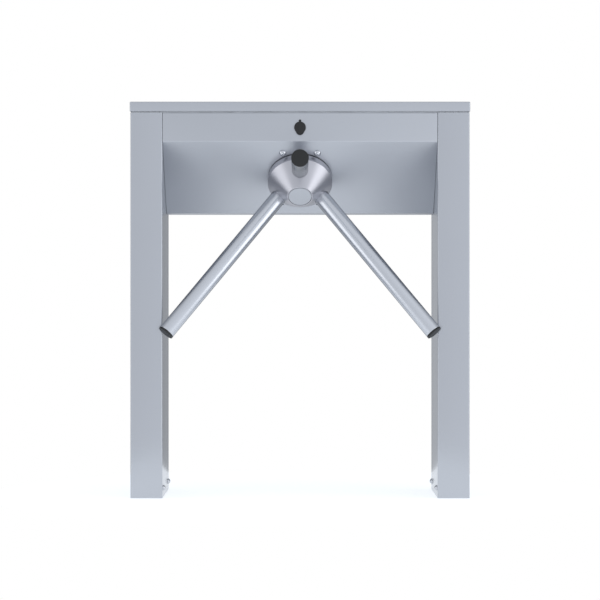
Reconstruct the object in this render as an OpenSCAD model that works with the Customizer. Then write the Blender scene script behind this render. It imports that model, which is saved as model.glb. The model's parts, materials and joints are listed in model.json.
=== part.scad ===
// Tripod turnstile. Origin on the floor midway between the legs, +Z up, barring arm towards -Y.

/* [Overall] */
// Height from the floor to the top of the lid
overall_h = 1000; // [985:1:1040]
// Clear width between the two legs
passage_w = 694; // [692:1:760]
// Width of a leg across the passage
leg_w = 80.8; // [72:0.2:110]
// Depth of the legs and of the cabinet, front to back
depth = 275; // [273:1:300]
// Thickness of the folded sheet
sheet_t = 2; // [1.5:0.1:2.2]
// Outer radius of the folds
fold_r = 2.5; // [2.3:0.1:4]

/* [Lid] */
// Height of the lid's skirt
lid_h = 24; // [20:1:32]
// How far the lid stands out past the legs
lid_overhang = 1.5; // [1:0.1:3]
// Shadow gap between the lid and the legs
lid_gap = 3.5; // [3:0.1:5]
// Width of the lips that are folded inwards round the top
lip_w = 12; // [10:1:14]
// Width of the rubber seal
seal_w = 6; // [4:0.5:6.5]
// Distance of the seal from the legs' outer faces
seal_inset = 3; // [2.5:0.1:3.5]

/* [Cabinet] */
// Height of the cabinet's vertical front face
front_h = 72.5; // [70:0.5:80]
// Drop of the sloped face, equal to its run at 45 degrees
slope_drop = 175; // [173:1:185]
// Thickness of the cabinet's end plates
end_plate_t = 3; // [2:0.5:5]
// Gap between the front panel's edge and a leg
panel_gap = 0.6; // [0.4:0.1:1]
// Diameter of the cable holes between a leg and the cabinet
cable_hole_d = 44; // [30:1:50]

/* [Rotor] */
// Distance from the slope's upper fold to the rotor axis
rotor_drop = 124; // [123:0.5:126]
// Depth of the point where the arm axes meet, behind the slope
apex_depth = 24.8; // [23:0.1:26]
// Distance from that point to the end of an arm
arm_reach = 551; // [480:1:556]
// Outer diameter of an arm
arm_d = 41; // [38:0.5:42]
// Wall of an arm's tube
arm_wall = 2; // [1.5:0.1:3]
// Diameter of an arm's end cap
cap_d = 41; // [38:0.1:41]
// Thickness of the part of an end cap that shows
cap_t = 5; // [3:0.5:8]
// Number of arms
arm_count = 3; // [3]
// Diameter of the hub's drum
hub_d = 164.5; // [161.5:0.5:167]
// Running gap between the hub and the slope
hub_gap = 2.5; // [2:0.1:3.5]
// Height of the hub's cylindrical rim
hub_rim = 18.7; // [17:0.1:20]
// Height of the hub's 45 degree cone
hub_cone_h = 50; // [49.5:0.1:51.5]
// Diameter of the disc on the hub's nose
nose_disc_d = 58; // [54:0.5:58.5]
// Groove round the disc
nose_groove = 1.2; // [0.8:0.1:1.3]

/* [Mechanism] */
// Half width of the two mechanism plates
plate_x = 108; // [106:1:112]
// Half height of the two mechanism plates along the slope
plate_y = 112; // [111:1:114]
// Thickness of the mechanism plates
plate_t = 8; // [6:0.5:9]
// Free space between the mechanism plates
frame_gap = 66; // [65:0.5:70]
// Diameter of the shaft
shaft_d = 30; // [28:0.5:31]
// Outer diameter of a ball bearing
bearing_d = 62; // [61:0.5:64]
// Width of a ball bearing
bearing_w = 16; // [15:0.5:17]
// Diameter of a bearing ball
ball_d = 9.5; // [9:0.1:9.8]
// Number of balls in a bearing
ball_count = 9; // [7:1:9]
// Tooth size, pitch diameter over number of teeth
gear_module = 2; // [1.95:0.01:2.02]
// Teeth on the main gear
gear_teeth = 60; // [60]
// Teeth on the damper pinion and on the index gear
pinion_teeth = 20; // [20]
// Width of the gears
gear_w = 10; // [8:0.5:11]
// Backlash between two gears
backlash = 0.3; // [0.2:0.05:0.4]
// Diameter of the lock wheel
lock_wheel_d = 96; // [92:1:98]
// Notches in the lock wheel
notch_count = 12; // [12]
// Thickness of the lock wheel
lock_wheel_t = 8; // [7:0.5:9]
// Travel of a pawl's tip at full engagement, in degrees
pawl_turn = 12; // [11:0.5:13]
// Distance of the pawl pins beside the rotor axis
pawl_pin_x = 45; // [44:0.5:46]
// Distance of the pawl pins above and below the rotor axis
pawl_pin_y = 68; // [67:0.5:69]
// Diameter of the pawl pins
pin_d = 10; // [9:0.5:10.5]
// Length of a pawl's tail, from its pin to the plunger
pawl_tail = 25; // [24:0.5:26]

/* [Bolts and lock] */
// Distance of the slope's bolts beside the rotor axis
bolt_x = 44; // [43:0.5:46]
// Distance of the slope's bolts above and below the rotor axis
bolt_y = 85.5; // [85:0.5:88]
// Thread diameter of the slope's bolts
bolt_d = 10; // [8:0.5:10]
// Thread diameter of the legs' foot bolts
foot_bolt_d = 8; // [6:0.5:8]
// Height of the foot bolts over the floor
foot_bolt_z = 24; // [22:0.5:28]
// Distance between a leg's two foot bolts
foot_bolt_span = 209; // [200:1:214]
// Distance between a leg's two floor anchors
anchor_span = 190; // [170:1:200]
// Diameter of the anchor holes
anchor_d = 14; // [10:0.5:16]
// Depth of the key lock below the top of the cabinet
lock_drop = 37.5; // [35.5:0.5:39.5]
// Diameter of the lock's keyhole cover
cover_d = 29.4; // [28:0.1:31]
// Diameter of the cover's finger lobe
cover_lobe_d = 20; // [17:0.1:21]
// Distance from the lock's centre down to the finger lobe's
cover_lobe_drop = 9.4; // [8.5:0.1:10.5]
// Distance from the lock's centre up to the cover's pivot
cover_pivot_rise = 16.5; // [16:0.1:17]

/* [Hidden] */

$fn = 64;
// One overrun serves all cuts
cut = 1;
// Running clearance of a pin in its bore, on the radius
run_c = 0.05;
// Clearance between pieces that pass each other
gap_c = 0.3;
// Clearance of a bolt in its hole, on the radius
bolt_c = 0.5;
// Smallest inner radius of a fold, as a share of the outer one
inner_fold_share = 0.2;

// Heights and planes of the casing
body_h = overall_h - lid_h - lid_gap;
lid_z = overall_h - lid_h;
front_y = -depth / 2;
back_y = depth / 2;
crease_z = body_h - front_h;
under_z = crease_z - slope_drop;
under_y = front_y + slope_drop;
lock_z = body_h - lock_drop;
leg_x = passage_w / 2;
slope_deg = 45;
slope_sin = sin(slope_deg);

// Rotor frame: local z runs out of the slope along the rotor axis, local y runs up the slope
rotor_y = front_y + rotor_drop * slope_sin;
rotor_z = crease_z - rotor_drop * slope_sin;
arm_tilt = 90 - slope_deg;
arm_turn = 360 / arm_count;

// Planes inside the rotor frame, negative behind the slope
front_plate_z = -sheet_t - plate_t;
rear_plate_z = front_plate_z - frame_gap - plate_t;
collar_t = 2;
bearing_lip = 3;
front_bearing_z = hub_gap - collar_t - bearing_w;
rear_bearing_z = rear_plate_z + plate_t - bearing_lip - bearing_w;
flange_t = front_plate_z - front_bearing_z + bearing_lip;
housing_wall = 4;
housing_r = bearing_d / 2 + housing_wall;
housing_flange_r = 48;
housing_lip_r = 27;
gear_room = 4;
gear_z = front_plate_z - flange_t - gear_room - gear_w;
spring_room = 18;
lock_wheel_z = gear_z - spring_room - lock_wheel_t;
sensor_room = 8;
sensor_disc_t = 2;
sensor_disc_step = 3;
sensor_disc_z = lock_wheel_z - sensor_room - sensor_disc_t;
shaft_r = shaft_d / 2;
nut_t = 12;
nut_r = 22;
shaft_tail = 3;
key_w_share = 0.27;
key_h_share = 0.24;
hub_key_l = 32;
shaft_end_z = rear_bearing_z - nut_t - shaft_tail;
// Places of the keys, as [start, length] along the shaft
key_places = [[gear_z, gear_w], [lock_wheel_z, lock_wheel_t], [hub_gap, hub_key_l]];

// Ball bearing, seen from its axis outwards
pitch_r = (shaft_r + bearing_d / 2) / 2;
race_c = 0.15;
race_r = ball_d / 2 + race_c;
race_depth_share = 0.4;
inner_land_r = pitch_r - ball_d * race_depth_share;
outer_land_r = pitch_r + ball_d * race_depth_share;
cage_t = 2.4;
cage_w = 12;

// Gears and their pins
gear_pitch_r = gear_module * gear_teeth / 2;
pinion_pitch_r = gear_module * pinion_teeth / 2;
gear_axes = gear_pitch_r + pinion_pitch_r;
pressure_deg = 20;
dedendum_share = 1.25;
flank_steps = 4;
crank_r = 13;
crank_pin_d = 6;
crank_head_share = 0.75;
spring_drop = 8;
spring_z = gear_z - spring_drop;
spring_post_y = 66;
spring_wire = 1.2;
spring_r = 3.4;
stud_head_t = 2;
stud_head_r = 7;
damper_r = 22;
damper_neck = 4;
damper_stem_r = 4;
damper_stem_in = 12;

// Lock wheel and pawls
lock_wheel_r = lock_wheel_d / 2;
notch_depth = 8;
notch_foot_w = 8.4;
notch_mouth_w = 15.2;
tooth_tip_w = 6;
tooth_foot_w = 8;
tooth_h = 12;
tooth_c = 1;
tooth_tip_y = lock_wheel_r - notch_depth + tooth_c;
pawl_t = 6;
pawl_z = lock_wheel_z + (lock_wheel_t - pawl_t) / 2;
pawl_eye_r = 11;
pawl_arm_w = 12;
pawl_root_share = 0.8;
pawl_slot_c = 0.3;
plunger_d = 10;
plunger_pin_d = 4;
plunger_y = pawl_pin_y + pawl_tail;
plunger_axis_z = pawl_z + pawl_t / 2;
plunger_nose = 7;
plunger_l = 38;
solenoid_l = 40;
solenoid_h = 26;
solenoid_w = 28;
solenoid_room = 20;
solenoid_t = 3;
solenoid_x = solenoid_room - pawl_pin_x;
coil_r = 12;
spring_collar_r = 8;
spring_collar_t = 2;
return_spring_x = 11;
return_spring_r = 6.6;
return_wire = 1;
post_r = 3;
post_head_share = 1.5;
pillar_r = 8;
pillar_inset = 14;
pillar_head_share = 0.8;
pillar_x = plate_x - pillar_inset;
pillar_y = plate_y - pillar_inset;

// Arms in the hub
arm_r = arm_d / 2;
socket_s = 66;
bolt_seat_s = 58;
arm_bolt_d = 10;
arm_bolt_head_r = 8;
arm_bolt_head_h = 10;
arm_plug_l = 32;
arm_end_s = arm_reach - cap_t;
cap_plug_l = 20;
hub_r = hub_d / 2;
hub_nose_z = hub_gap + hub_rim + hub_cone_h;
hub_nose_r = hub_r - hub_cone_h;
nose_disc_t = 4.5;
nose_recess_r = nose_disc_d / 2 + nose_groove;
hub_bore_top = hub_gap + 42;
hub_bolt_d = 12;
hub_bolt_head_r = 9;
hub_bolt_head_h = 12;
hub_washer_r = 20;
hub_washer_t = 4;
hub_cavity_r = 21;

// Button heads
button_share = 0.92;
button_h_share = 0.8;
button_socket_share = 0.25;
socket_share = 0.35;
socket_depth_share = 0.4;
hub_socket_share = 0.525;
flange_bolt_l = 16;
foot_bolt_l = 12;
joint_bolt_d = 10;
joint_bolt_l = 14;
joint_bolt_head_share = 0.85;
joint_bolt_head_h_share = 0.64;

// Casing joints
joint_bolt_inset = 32;
joint_bolt_drop = 40;
joint_bolt_rise = 46;
joint_bolt_places = [
    [front_y + joint_bolt_inset, body_h - joint_bolt_drop],
    [back_y - joint_bolt_inset, body_h - joint_bolt_drop],
    [back_y - joint_bolt_inset, under_z + joint_bolt_rise],
    [under_y - lip_w, under_z + joint_bolt_rise]
];
cable_hole_y = 60;
cable_hole_drop = 112.5;
cable_hole_z = body_h - cable_hole_drop;
bracket_t = 4;
bracket_h = 45;
bracket_l = 250;
bracket_c = 0.3;
duct_d = 50;
weld_nut_t = 6.5;
back_flange_h = 20;

// Lid hinges
hinge_x = 260;
hinge_w = 60;
knuckles = 5;
knuckle_r = 4;
hinge_pin_r = 2;
hinge_leaf_t = 2;
hinge_leaf_h = 30;
hinge_lid_leaf_h = 19;
hinge_y = back_y + lid_overhang + knuckle_r + gap_c;
hinge_z = body_h + lid_gap / 2;

// Key lock
bezel_r = 12.5;
bezel_t = 2;
barrel_r = 9.5;
barrel_l = 22;
plug_r = 7;
plug_l = 24.5;
lock_nut_t = 5;
lock_nut_r = 13.5;
cam_t = 2.5;
cam_w = 12;
cam_l = 30;
cam_screw_r = 5;
cam_screw_h = 4;
cam_square = 7;
keyway_w = 2;
keyway_h = 8;
keyway_depth = 10;
cover_t = 2.5;
cover_gap = 0.3;
cover_boss_r = 3.2;
rivet_r = 1.5;
rivet_head_t = 1;
cam_y = front_y + plug_l;
catch_w = 20;
catch_x = 14;
catch_t = 2.5;
catch_room = 6.5;
catch_c = 0.5;
catch_y = cam_y + cam_t + catch_room;
catch_lip_top = lock_z - cam_w / 2 - catch_c;

// Electronics on the back panel
board_x = 175;
board_rise = 75;
board_z = under_z + board_rise;
board_w = 140;
board_h = 100;
board_t = 1.6;
standoff_l = 8;
standoff_r = 3;
board_y = back_y - sheet_t - standoff_l - board_t;
supply_w = 130;
supply_d = 36;
supply_h = 80;
supply_x = -310;
supply_rise = 12;
supply_wall = 1.5;
vent_w = 60;
vent_h = 3;
vents = 6;

module at_rotor() {
    translate([0, rotor_y, rotor_z]) rotate([180 - slope_deg, 0, 0]) children();
}

module on_arm(i) {
    translate([0, 0, -apex_depth]) rotate([0, 0, arm_turn * i]) rotate([-arm_tilt, 0, 0]) children();
}

module both_sides() {
    children();
    mirror([1, 0, 0]) children();
}

// Rectangle with round corners, drawn from true arcs
module round_rect(w, h, r) {
    translate([-w / 2 + r, -h / 2]) square([w - r * 2, h]);
    translate([-w / 2, -h / 2 + r]) square([w, h - r * 2]);
    for (x = [-1, 1], y = [-1, 1]) translate([x * (w / 2 - r), y * (h / 2 - r)]) circle(r);
}

module round_frame(w, h, r, rim) {
    difference() {
        round_rect(w, h, r);
        round_rect(w - rim * 2, h - rim * 2, max(r - rim, r * inner_fold_share));
    }
}

module ring(outer_r, inner_r, h) {
    difference() {
        cylinder(r = outer_r, h = h);
        translate([0, 0, -cut]) cylinder(r = inner_r, h = h + cut * 2);
    }
}

// Button head on the plane z = 0 with its hexagon socket, thread diameter d and shank length l below
module button_bolt(d, l) {
    r = d * button_share;
    h = d * button_h_share;
    dome_r = (r * r + h * h) / (h * 2);
    difference() {
        intersection() {
            translate([0, 0, h - dome_r]) sphere(dome_r, $fn = 96);
            cylinder(r = r + cut, h = h + cut);
        }
        translate([0, 0, h - d * socket_depth_share]) cylinder(r = d * button_socket_share, h = h, $fn = 6);
    }
    translate([0, 0, -l]) cylinder(d = d, h = l + d * socket_depth_share / 2);
}

// Hexagon head on the plane z = 0
module hex_bolt(d, l) {
    cylinder(r = d * joint_bolt_head_share, h = d * joint_bolt_head_h_share, $fn = 6);
    translate([0, 0, -l]) cylinder(d = d, h = l + d * socket_depth_share);
}

// Casing

// Leg: square tube of folded sheet, open at the floor, with lips folded inwards at the top
module leg_shell() {
    translate([leg_x + leg_w / 2, 0, 0]) difference() {
        union() {
            linear_extrude(body_h) round_frame(leg_w, depth, fold_r, sheet_t);
            translate([0, 0, body_h - sheet_t]) linear_extrude(sheet_t)
                round_frame(leg_w, depth, fold_r, lip_w);
        }
        translate([-leg_w / 2 - cut, cable_hole_y, cable_hole_z]) rotate([0, 90, 0])
            cylinder(d = cable_hole_d, h = sheet_t + cut * 2);
        for (place = joint_bolt_places) translate([-leg_w / 2 - cut, place[0], place[1]]) rotate([0, 90, 0])
            cylinder(r = joint_bolt_d / 2 + bolt_c, h = sheet_t + cut * 2);
        for (y = [-1, 1]) translate([-leg_w / 2 - cut, y * foot_bolt_span / 2, foot_bolt_z])
            rotate([0, 90, 0]) cylinder(r = foot_bolt_d / 2 + bolt_c, h = sheet_t + cut * 2);
    }
}

module leg_left() {
    color("lightsteelblue") mirror([1, 0, 0]) leg_shell();
}

module leg_right() {
    color("lightsteelblue") leg_shell();
}

// Floor bracket: base plate with two upright flanges inside the leg and a weld nut for each foot bolt
module floor_bracket() {
    inner_x = leg_x + sheet_t + bracket_c;
    outer_x = leg_x + leg_w - sheet_t - bracket_c;
    difference() {
        union() {
            translate([inner_x, -bracket_l / 2, 0]) cube([outer_x - inner_x, bracket_l, bracket_t]);
            for (x = [inner_x, outer_x - bracket_t])
                translate([x, -bracket_l / 2, 0]) cube([bracket_t, bracket_l, bracket_h]);
            for (y = [-1, 1]) translate([inner_x + bracket_t, y * foot_bolt_span / 2, foot_bolt_z])
                rotate([0, 90, 0]) cylinder(d = foot_bolt_d * 2, h = weld_nut_t, $fn = 6);
        }
        for (y = [-1, 1]) {
            translate([leg_x, y * foot_bolt_span / 2, foot_bolt_z]) rotate([0, 90, 0])
                cylinder(r = foot_bolt_d / 2 + run_c, h = leg_w / 2);
            translate([leg_x + leg_w / 2, y * anchor_span / 2, -cut])
                cylinder(d = anchor_d, h = bracket_t + cut * 2);
        }
        translate([leg_x + leg_w / 2, 0, -cut]) cylinder(d = duct_d, h = bracket_t + cut * 2);
    }
}

module floor_brackets() {
    color("dimgray") both_sides() floor_bracket();
}

module foot_bolts() {
    color("silver") both_sides() for (y = [-1, 1])
        translate([leg_x, y * foot_bolt_span / 2, foot_bolt_z]) rotate([0, -90, 0])
            button_bolt(foot_bolt_d, foot_bolt_l);
}

// Outline of the cabinet's cross-section, set in by d from its outer face, in Y and Z
function section(d) = [
    [front_y + d, body_h - d],
    [front_y + d, crease_z + d * tan(slope_deg / 2)],
    [under_y + d * tan(slope_deg / 2), under_z + d],
    [back_y - d, under_z + d],
    [back_y - d, body_h - d]
];

// A polygon in Y and Z, extruded along X from x0 by w
module along_x(x0, w, points) {
    translate([x0, 0, 0]) rotate([90, 0, 90]) linear_extrude(w) polygon(points);
}

// Front panel: lip, vertical face, slope, flat underside and rear flange, folded from one sheet
module front_panel() {
    outer = section(0);
    inner = section(sheet_t);
    edge_y = back_y - sheet_t;
    profile = [
        [front_y + lip_w, body_h], outer[0], outer[1], outer[2], [edge_y, under_z],
        [edge_y, under_z + back_flange_h], [edge_y - sheet_t, under_z + back_flange_h],
        [edge_y - sheet_t, under_z + sheet_t], inner[2], inner[1], inner[0],
        [front_y + lip_w, body_h - sheet_t]
    ];
    color("lightsteelblue") difference() {
        along_x(-leg_x + panel_gap, (leg_x - panel_gap) * 2, profile);
        at_rotor() {
            translate([0, 0, -sheet_t - cut]) cylinder(r = housing_r + gap_c, h = sheet_t + cut * 2);
            for (x = [-1, 1], y = [-1, 1]) translate([x * bolt_x, y * bolt_y, -sheet_t - cut])
                cylinder(r = bolt_d / 2 + bolt_c, h = sheet_t + cut * 2);
        }
        translate([0, front_y - cut, lock_z]) rotate([-90, 0, 0])
            cylinder(r = barrel_r + run_c, h = sheet_t + cut * 2);
        translate([0, front_y - cut, lock_z + cover_pivot_rise]) rotate([-90, 0, 0])
            cylinder(r = rivet_r + run_c, h = sheet_t + cut * 2);
    }
}

// Back panel: flat sheet with a lip folded forwards round its top edge
module back_panel() {
    profile = [
        [back_y, under_z], [back_y, body_h], [back_y - lip_w, body_h], [back_y - lip_w, body_h - sheet_t],
        [back_y - sheet_t, body_h - sheet_t], [back_y - sheet_t, under_z]
    ];
    color("lightsteelblue") along_x(-leg_x + panel_gap, (leg_x - panel_gap) * 2, profile);
}

// End plates close the cabinet's ends inside the folded sheets and carry them on the legs
module end_plates() {
    inner = section(sheet_t + gap_c);
    profile = [
        inner[0], inner[1], inner[2], [back_y - sheet_t * 2 - gap_c, inner[3][1]],
        [back_y - sheet_t * 2 - gap_c, under_z + back_flange_h + gap_c],
        [inner[3][0], under_z + back_flange_h + gap_c], inner[4]
    ];
    color("slategray") both_sides() difference() {
        along_x(leg_x - end_plate_t, end_plate_t, profile);
        translate([leg_x - end_plate_t - cut, cable_hole_y, cable_hole_z]) rotate([0, 90, 0])
            cylinder(d = cable_hole_d, h = end_plate_t + cut * 2);
        for (place = joint_bolt_places) translate([leg_x - end_plate_t - cut, place[0], place[1]])
            rotate([0, 90, 0])
            cylinder(r = joint_bolt_d / 2 + bolt_c, h = end_plate_t + cut * 2);
    }
}

// Bolts that join the end plates to the legs, each with its nut inside the leg
module leg_joint_bolts() {
    nut_h = joint_bolt_d * joint_bolt_head_h_share;
    color("silver") both_sides() for (place = joint_bolt_places)
        translate([leg_x - end_plate_t, place[0], place[1]]) rotate([0, -90, 0]) {
            hex_bolt(joint_bolt_d, joint_bolt_l);
            translate([0, 0, -end_plate_t - sheet_t - nut_h])
                cylinder(r = joint_bolt_d * joint_bolt_head_share, h = nut_h, $fn = 6);
        }
}

// Rubber grommets in the cable holes between the cabinet and the legs
module leg_grommets() {
    wall = end_plate_t + sheet_t;
    lip = 3;
    color("black") both_sides() translate([leg_x - end_plate_t - lip, cable_hole_y, cable_hole_z])
        rotate([0, 90, 0]) difference() {
            union() {
                cylinder(d = cable_hole_d + lip * 2, h = lip);
                cylinder(d = cable_hole_d - run_c * 2, h = wall + lip * 2);
                translate([0, 0, wall + lip]) cylinder(d = cable_hole_d + lip * 2, h = lip);
            }
            translate([0, 0, -cut]) cylinder(d = cable_hole_d - lip * 2, h = wall + (lip + cut) * 2);
        }
}

// Rubber seal on the lips round the top
module lid_seal() {
    outer_w = passage_w + (leg_w - seal_inset) * 2;
    outer_d = depth - seal_inset * 2;
    color("darkgray") translate([0, 0, body_h]) linear_extrude(lid_gap - gap_c)
        round_frame(outer_w, outer_d, seal_w, seal_w);
}

// Lid: pressed sheet with a skirt and a return lip
module lid() {
    w = passage_w + (leg_w + lid_overhang) * 2;
    d = depth + lid_overhang * 2;
    color("lightsteelblue") translate([0, 0, lid_z]) {
        linear_extrude(lid_h) round_frame(w, d, fold_r, sheet_t);
        linear_extrude(sheet_t) round_frame(w, d, fold_r, lip_w + lid_overhang);
        translate([0, 0, lid_h - sheet_t]) linear_extrude(sheet_t) round_rect(w, d, fold_r);
    }
}

// Segment i of a hinge's five knuckles
module knuckle(i) {
    w = hinge_w / knuckles;
    translate([-hinge_w / 2 + w * i + gap_c / 2, 0, 0]) rotate([0, 90, 0])
        ring(knuckle_r, hinge_pin_r + run_c, w - gap_c);
}

// Leaf behind the knuckles, cut away around the other leaf's
module hinge_leaf(leaf, web, others) {
    difference() {
        union() {
            translate([-hinge_w / 2, leaf[0], leaf[1]]) cube([hinge_w, hinge_leaf_t, leaf[2]]);
            translate([-hinge_w / 2, leaf[0], web]) cube([hinge_w, -leaf[0], hinge_leaf_t]);
        }
        translate([-hinge_w, 0, 0]) rotate([0, 90, 0]) cylinder(r = hinge_pin_r + run_c, h = hinge_w * 2);
        for (i = others) translate([-hinge_w / 2 + hinge_w / knuckles * i - gap_c / 2, 0, 0])
            rotate([0, 90, 0]) cylinder(r = knuckle_r + gap_c, h = hinge_w / knuckles + gap_c);
    }
}

module hinge_leaves_fixed() {
    leaf_y = back_y - hinge_y;
    color("silver") both_sides() translate([hinge_x, hinge_y, hinge_z]) {
        hinge_leaf([leaf_y, -knuckle_r - hinge_leaf_h, hinge_leaf_h + hinge_leaf_t], -knuckle_r, [1, 3]);
        for (i = [0, 2, 4]) knuckle(i);
    }
}

module hinge_leaves_lid() {
    leaf_y = back_y + lid_overhang - hinge_y;
    color("silver") both_sides() translate([hinge_x, hinge_y, hinge_z]) {
        hinge_leaf([leaf_y, knuckle_r - hinge_leaf_t, hinge_lid_leaf_h], knuckle_r - hinge_leaf_t, [0, 2, 4]);
        for (i = [1, 3]) knuckle(i);
    }
}

module hinge_pins() {
    head_t = 1;
    color("silver") both_sides() translate([hinge_x - hinge_w / 2, hinge_y, hinge_z]) rotate([0, 90, 0]) {
        cylinder(r = hinge_pin_r, h = hinge_w);
        for (z = [-head_t, hinge_w]) translate([0, 0, z]) cylinder(r = hinge_pin_r + head_t, h = head_t);
    }
}

// Lid catch: hangs from the lid behind the lock's cam, with a lip that the turned cam holds down
module lid_catch() {
    foot = 16;
    top = overall_h - sheet_t;
    color("silver") translate([catch_x, 0, 0]) {
        translate([0, catch_y, catch_lip_top - catch_t])
            cube([catch_w, catch_t, top - catch_lip_top + catch_t]);
        translate([0, catch_y, top - catch_t]) cube([catch_w, foot, catch_t]);
        translate([0, cam_y - cam_t, catch_lip_top - catch_t])
            cube([catch_w, catch_y - cam_y + cam_t, catch_t]);
    }
}

// Key lock

module at_lock(y) {
    translate([0, y, lock_z]) rotate([90, 0, 0]) children();
}

module lock_barrel() {
    color("gray") at_lock(front_y) difference() {
        union() {
            cylinder(r = bezel_r, h = bezel_t);
            translate([0, 0, -barrel_l]) cylinder(r = barrel_r, h = barrel_l + cut / 2);
        }
        translate([0, 0, -barrel_l - cut]) cylinder(r = plug_r + run_c, h = barrel_l + bezel_t + cut * 2);
    }
}

module lock_nut() {
    color("silver") at_lock(front_y + sheet_t + lock_nut_t) difference() {
        cylinder(r = lock_nut_r, h = lock_nut_t, $fn = 6);
        translate([0, 0, -cut]) cylinder(r = barrel_r, h = lock_nut_t + cut * 2);
    }
}

// Plug with its keyway and the square that carries the cam
module lock_plug() {
    color("silver") at_lock(front_y) difference() {
        union() {
            translate([0, 0, -plug_l]) cylinder(r = plug_r, h = plug_l + bezel_t - gap_c);
            translate([-cam_square / 2, -cam_square / 2, -plug_l - cam_t])
                cube([cam_square, cam_square, cam_t + cut]);
        }
        translate([-keyway_w / 2, -keyway_h / 2, bezel_t - keyway_depth])
            cube([keyway_w, keyway_h, keyway_depth]);
    }
}

// Cam pointing up, which frees the lid, with the screw that holds it
module lock_cam() {
    color("silver") {
        at_lock(cam_y + cam_t) linear_extrude(cam_t) difference() {
            union() {
                circle(cam_w / 2);
                translate([-cam_w / 2, 0]) square([cam_w, cam_l]);
            }
            square([cam_square, cam_square], center = true);
        }
        at_lock(cam_y + cam_t + cam_screw_h) cylinder(r = cam_screw_r, h = cam_screw_h);
    }
}

// Two circles a distance d apart, joined by their outer tangents
module tangent_drop(r1, r2, d) {
    a = acos((r1 - r2) / d);
    circle(r1);
    translate([0, -d]) circle(r2);
    polygon([
        [r1 * sin(a), -r1 * cos(a)], [-r1 * sin(a), -r1 * cos(a)],
        [-r2 * sin(a), -d - r2 * cos(a)], [r2 * sin(a), -d - r2 * cos(a)]
    ]);
}

module keyhole_cover() {
    color("#343538") at_lock(front_y - bezel_t - cover_gap) linear_extrude(cover_t) difference() {
        union() {
            tangent_drop(cover_d / 2, cover_lobe_d / 2, cover_lobe_drop);
            translate([0, cover_pivot_rise]) circle(cover_boss_r);
        }
        translate([0, cover_pivot_rise]) circle(rivet_r + run_c);
    }
}

module cover_rivet() {
    out = bezel_t + cover_gap + cover_t + gap_c;
    color("#343538") at_lock(front_y) translate([0, cover_pivot_rise, 0]) {
        translate([0, 0, -sheet_t - rivet_head_t])
            cylinder(r = rivet_r, h = sheet_t + rivet_head_t + out + rivet_head_t);
        translate([0, 0, -sheet_t - rivet_head_t]) cylinder(r = rivet_r * 2, h = rivet_head_t);
        cylinder(r = rivet_r * 2, h = bezel_t);
        translate([0, 0, out]) cylinder(r = rivet_r * 2 - gap_c, h = rivet_head_t);
    }
}

// Mechanism frame behind the slope

module plate_blank(z) {
    translate([-plate_x, -plate_y, z]) cube([plate_x * 2, plate_y * 2, plate_t]);
}

module at_pillars() {
    for (x = [-1, 1], y = [-1, 1]) translate([x * pillar_x, y * pillar_y, 0]) children();
}

module at_pawl_pins() {
    for (a = [0, 180]) rotate([0, 0, a]) translate([-pawl_pin_x, pawl_pin_y, 0]) children();
}

module at_slope_bolts() {
    for (x = [-1, 1], y = [-1, 1]) translate([x * bolt_x, y * bolt_y, 0]) children();
}

module through(r, z) {
    translate([0, 0, z - cut]) cylinder(r = r, h = plate_t + cut * 2);
}

module mechanism_front_plate() {
    color("slategray") at_rotor() difference() {
        plate_blank(front_plate_z);
        through(housing_r + run_c, front_plate_z);
        at_slope_bolts() through(bolt_d / 2 + run_c, front_plate_z);
        at_pawl_pins() through(pin_d / 2 + run_c, front_plate_z);
    }
}

module mechanism_rear_plate() {
    color("slategray") at_rotor() difference() {
        plate_blank(rear_plate_z);
        through(housing_r + run_c, rear_plate_z);
        at_pillars() through(pillar_r / 2 + run_c, rear_plate_z);
        at_pawl_pins() through(pin_d / 2 + run_c, rear_plate_z);
    }
}

// Pillars between the plates, each with the bolt that holds the rear plate on it
module frame_pillars() {
    color("silver") at_rotor() at_pillars() {
        translate([0, 0, rear_plate_z + plate_t]) cylinder(r = pillar_r, h = frame_gap);
        translate([0, 0, rear_plate_z - cut / 2]) cylinder(r = pillar_r / 2, h = plate_t + cut);
        translate([0, 0, rear_plate_z - pillar_r]) difference() {
            cylinder(r = pillar_r * pillar_head_share, h = pillar_r);
            translate([0, 0, -cut]) cylinder(r = pillar_r * socket_share, h = pillar_r / 2 + cut, $fn = 6);
        }
    }
}

module flange_bolts() {
    color("silver") at_rotor() at_slope_bolts() button_bolt(bolt_d, flange_bolt_l);
}

// Housing whose bore opens at z_open, with its lip beyond z_seat and a flange between z_flange and +flange
module bearing_housing(z_lip, z_seat, z_open, z_flange, flange) {
    difference() {
        union() {
            translate([0, 0, z_lip]) cylinder(r = housing_r, h = z_open - z_lip);
            translate([0, 0, z_flange]) cylinder(r = housing_flange_r, h = flange);
        }
        translate([0, 0, z_seat]) cylinder(r = bearing_d / 2, h = z_open - z_seat + cut);
        translate([0, 0, z_lip - cut]) cylinder(r = housing_lip_r, h = z_seat - z_lip + cut * 2);
    }
}

module bearing_housings() {
    color("darkgray") at_rotor() {
        bearing_housing(front_bearing_z - bearing_lip, front_bearing_z, front_bearing_z + bearing_w,
            front_plate_z - flange_t, flange_t);
        bearing_housing(rear_bearing_z - bearing_lip, rear_bearing_z, rear_plate_z + plate_t,
            rear_plate_z - flange_t, flange_t);
    }
}

module at_bearings() {
    for (z = [front_bearing_z, rear_bearing_z]) translate([0, 0, z]) children();
}

module bearing_ring(r0, r1) {
    rotate_extrude() difference() {
        translate([r0, 0]) square([r1 - r0, bearing_w]);
        translate([pitch_r, bearing_w / 2]) circle(race_r);
    }
}

module bearing_outer_rings() {
    color("lightgray") at_rotor() at_bearings() bearing_ring(outer_land_r, bearing_d / 2);
}

module bearing_inner_rings() {
    color("lightgray") at_rotor() at_bearings() bearing_ring(shaft_r, inner_land_r);
}

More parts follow.
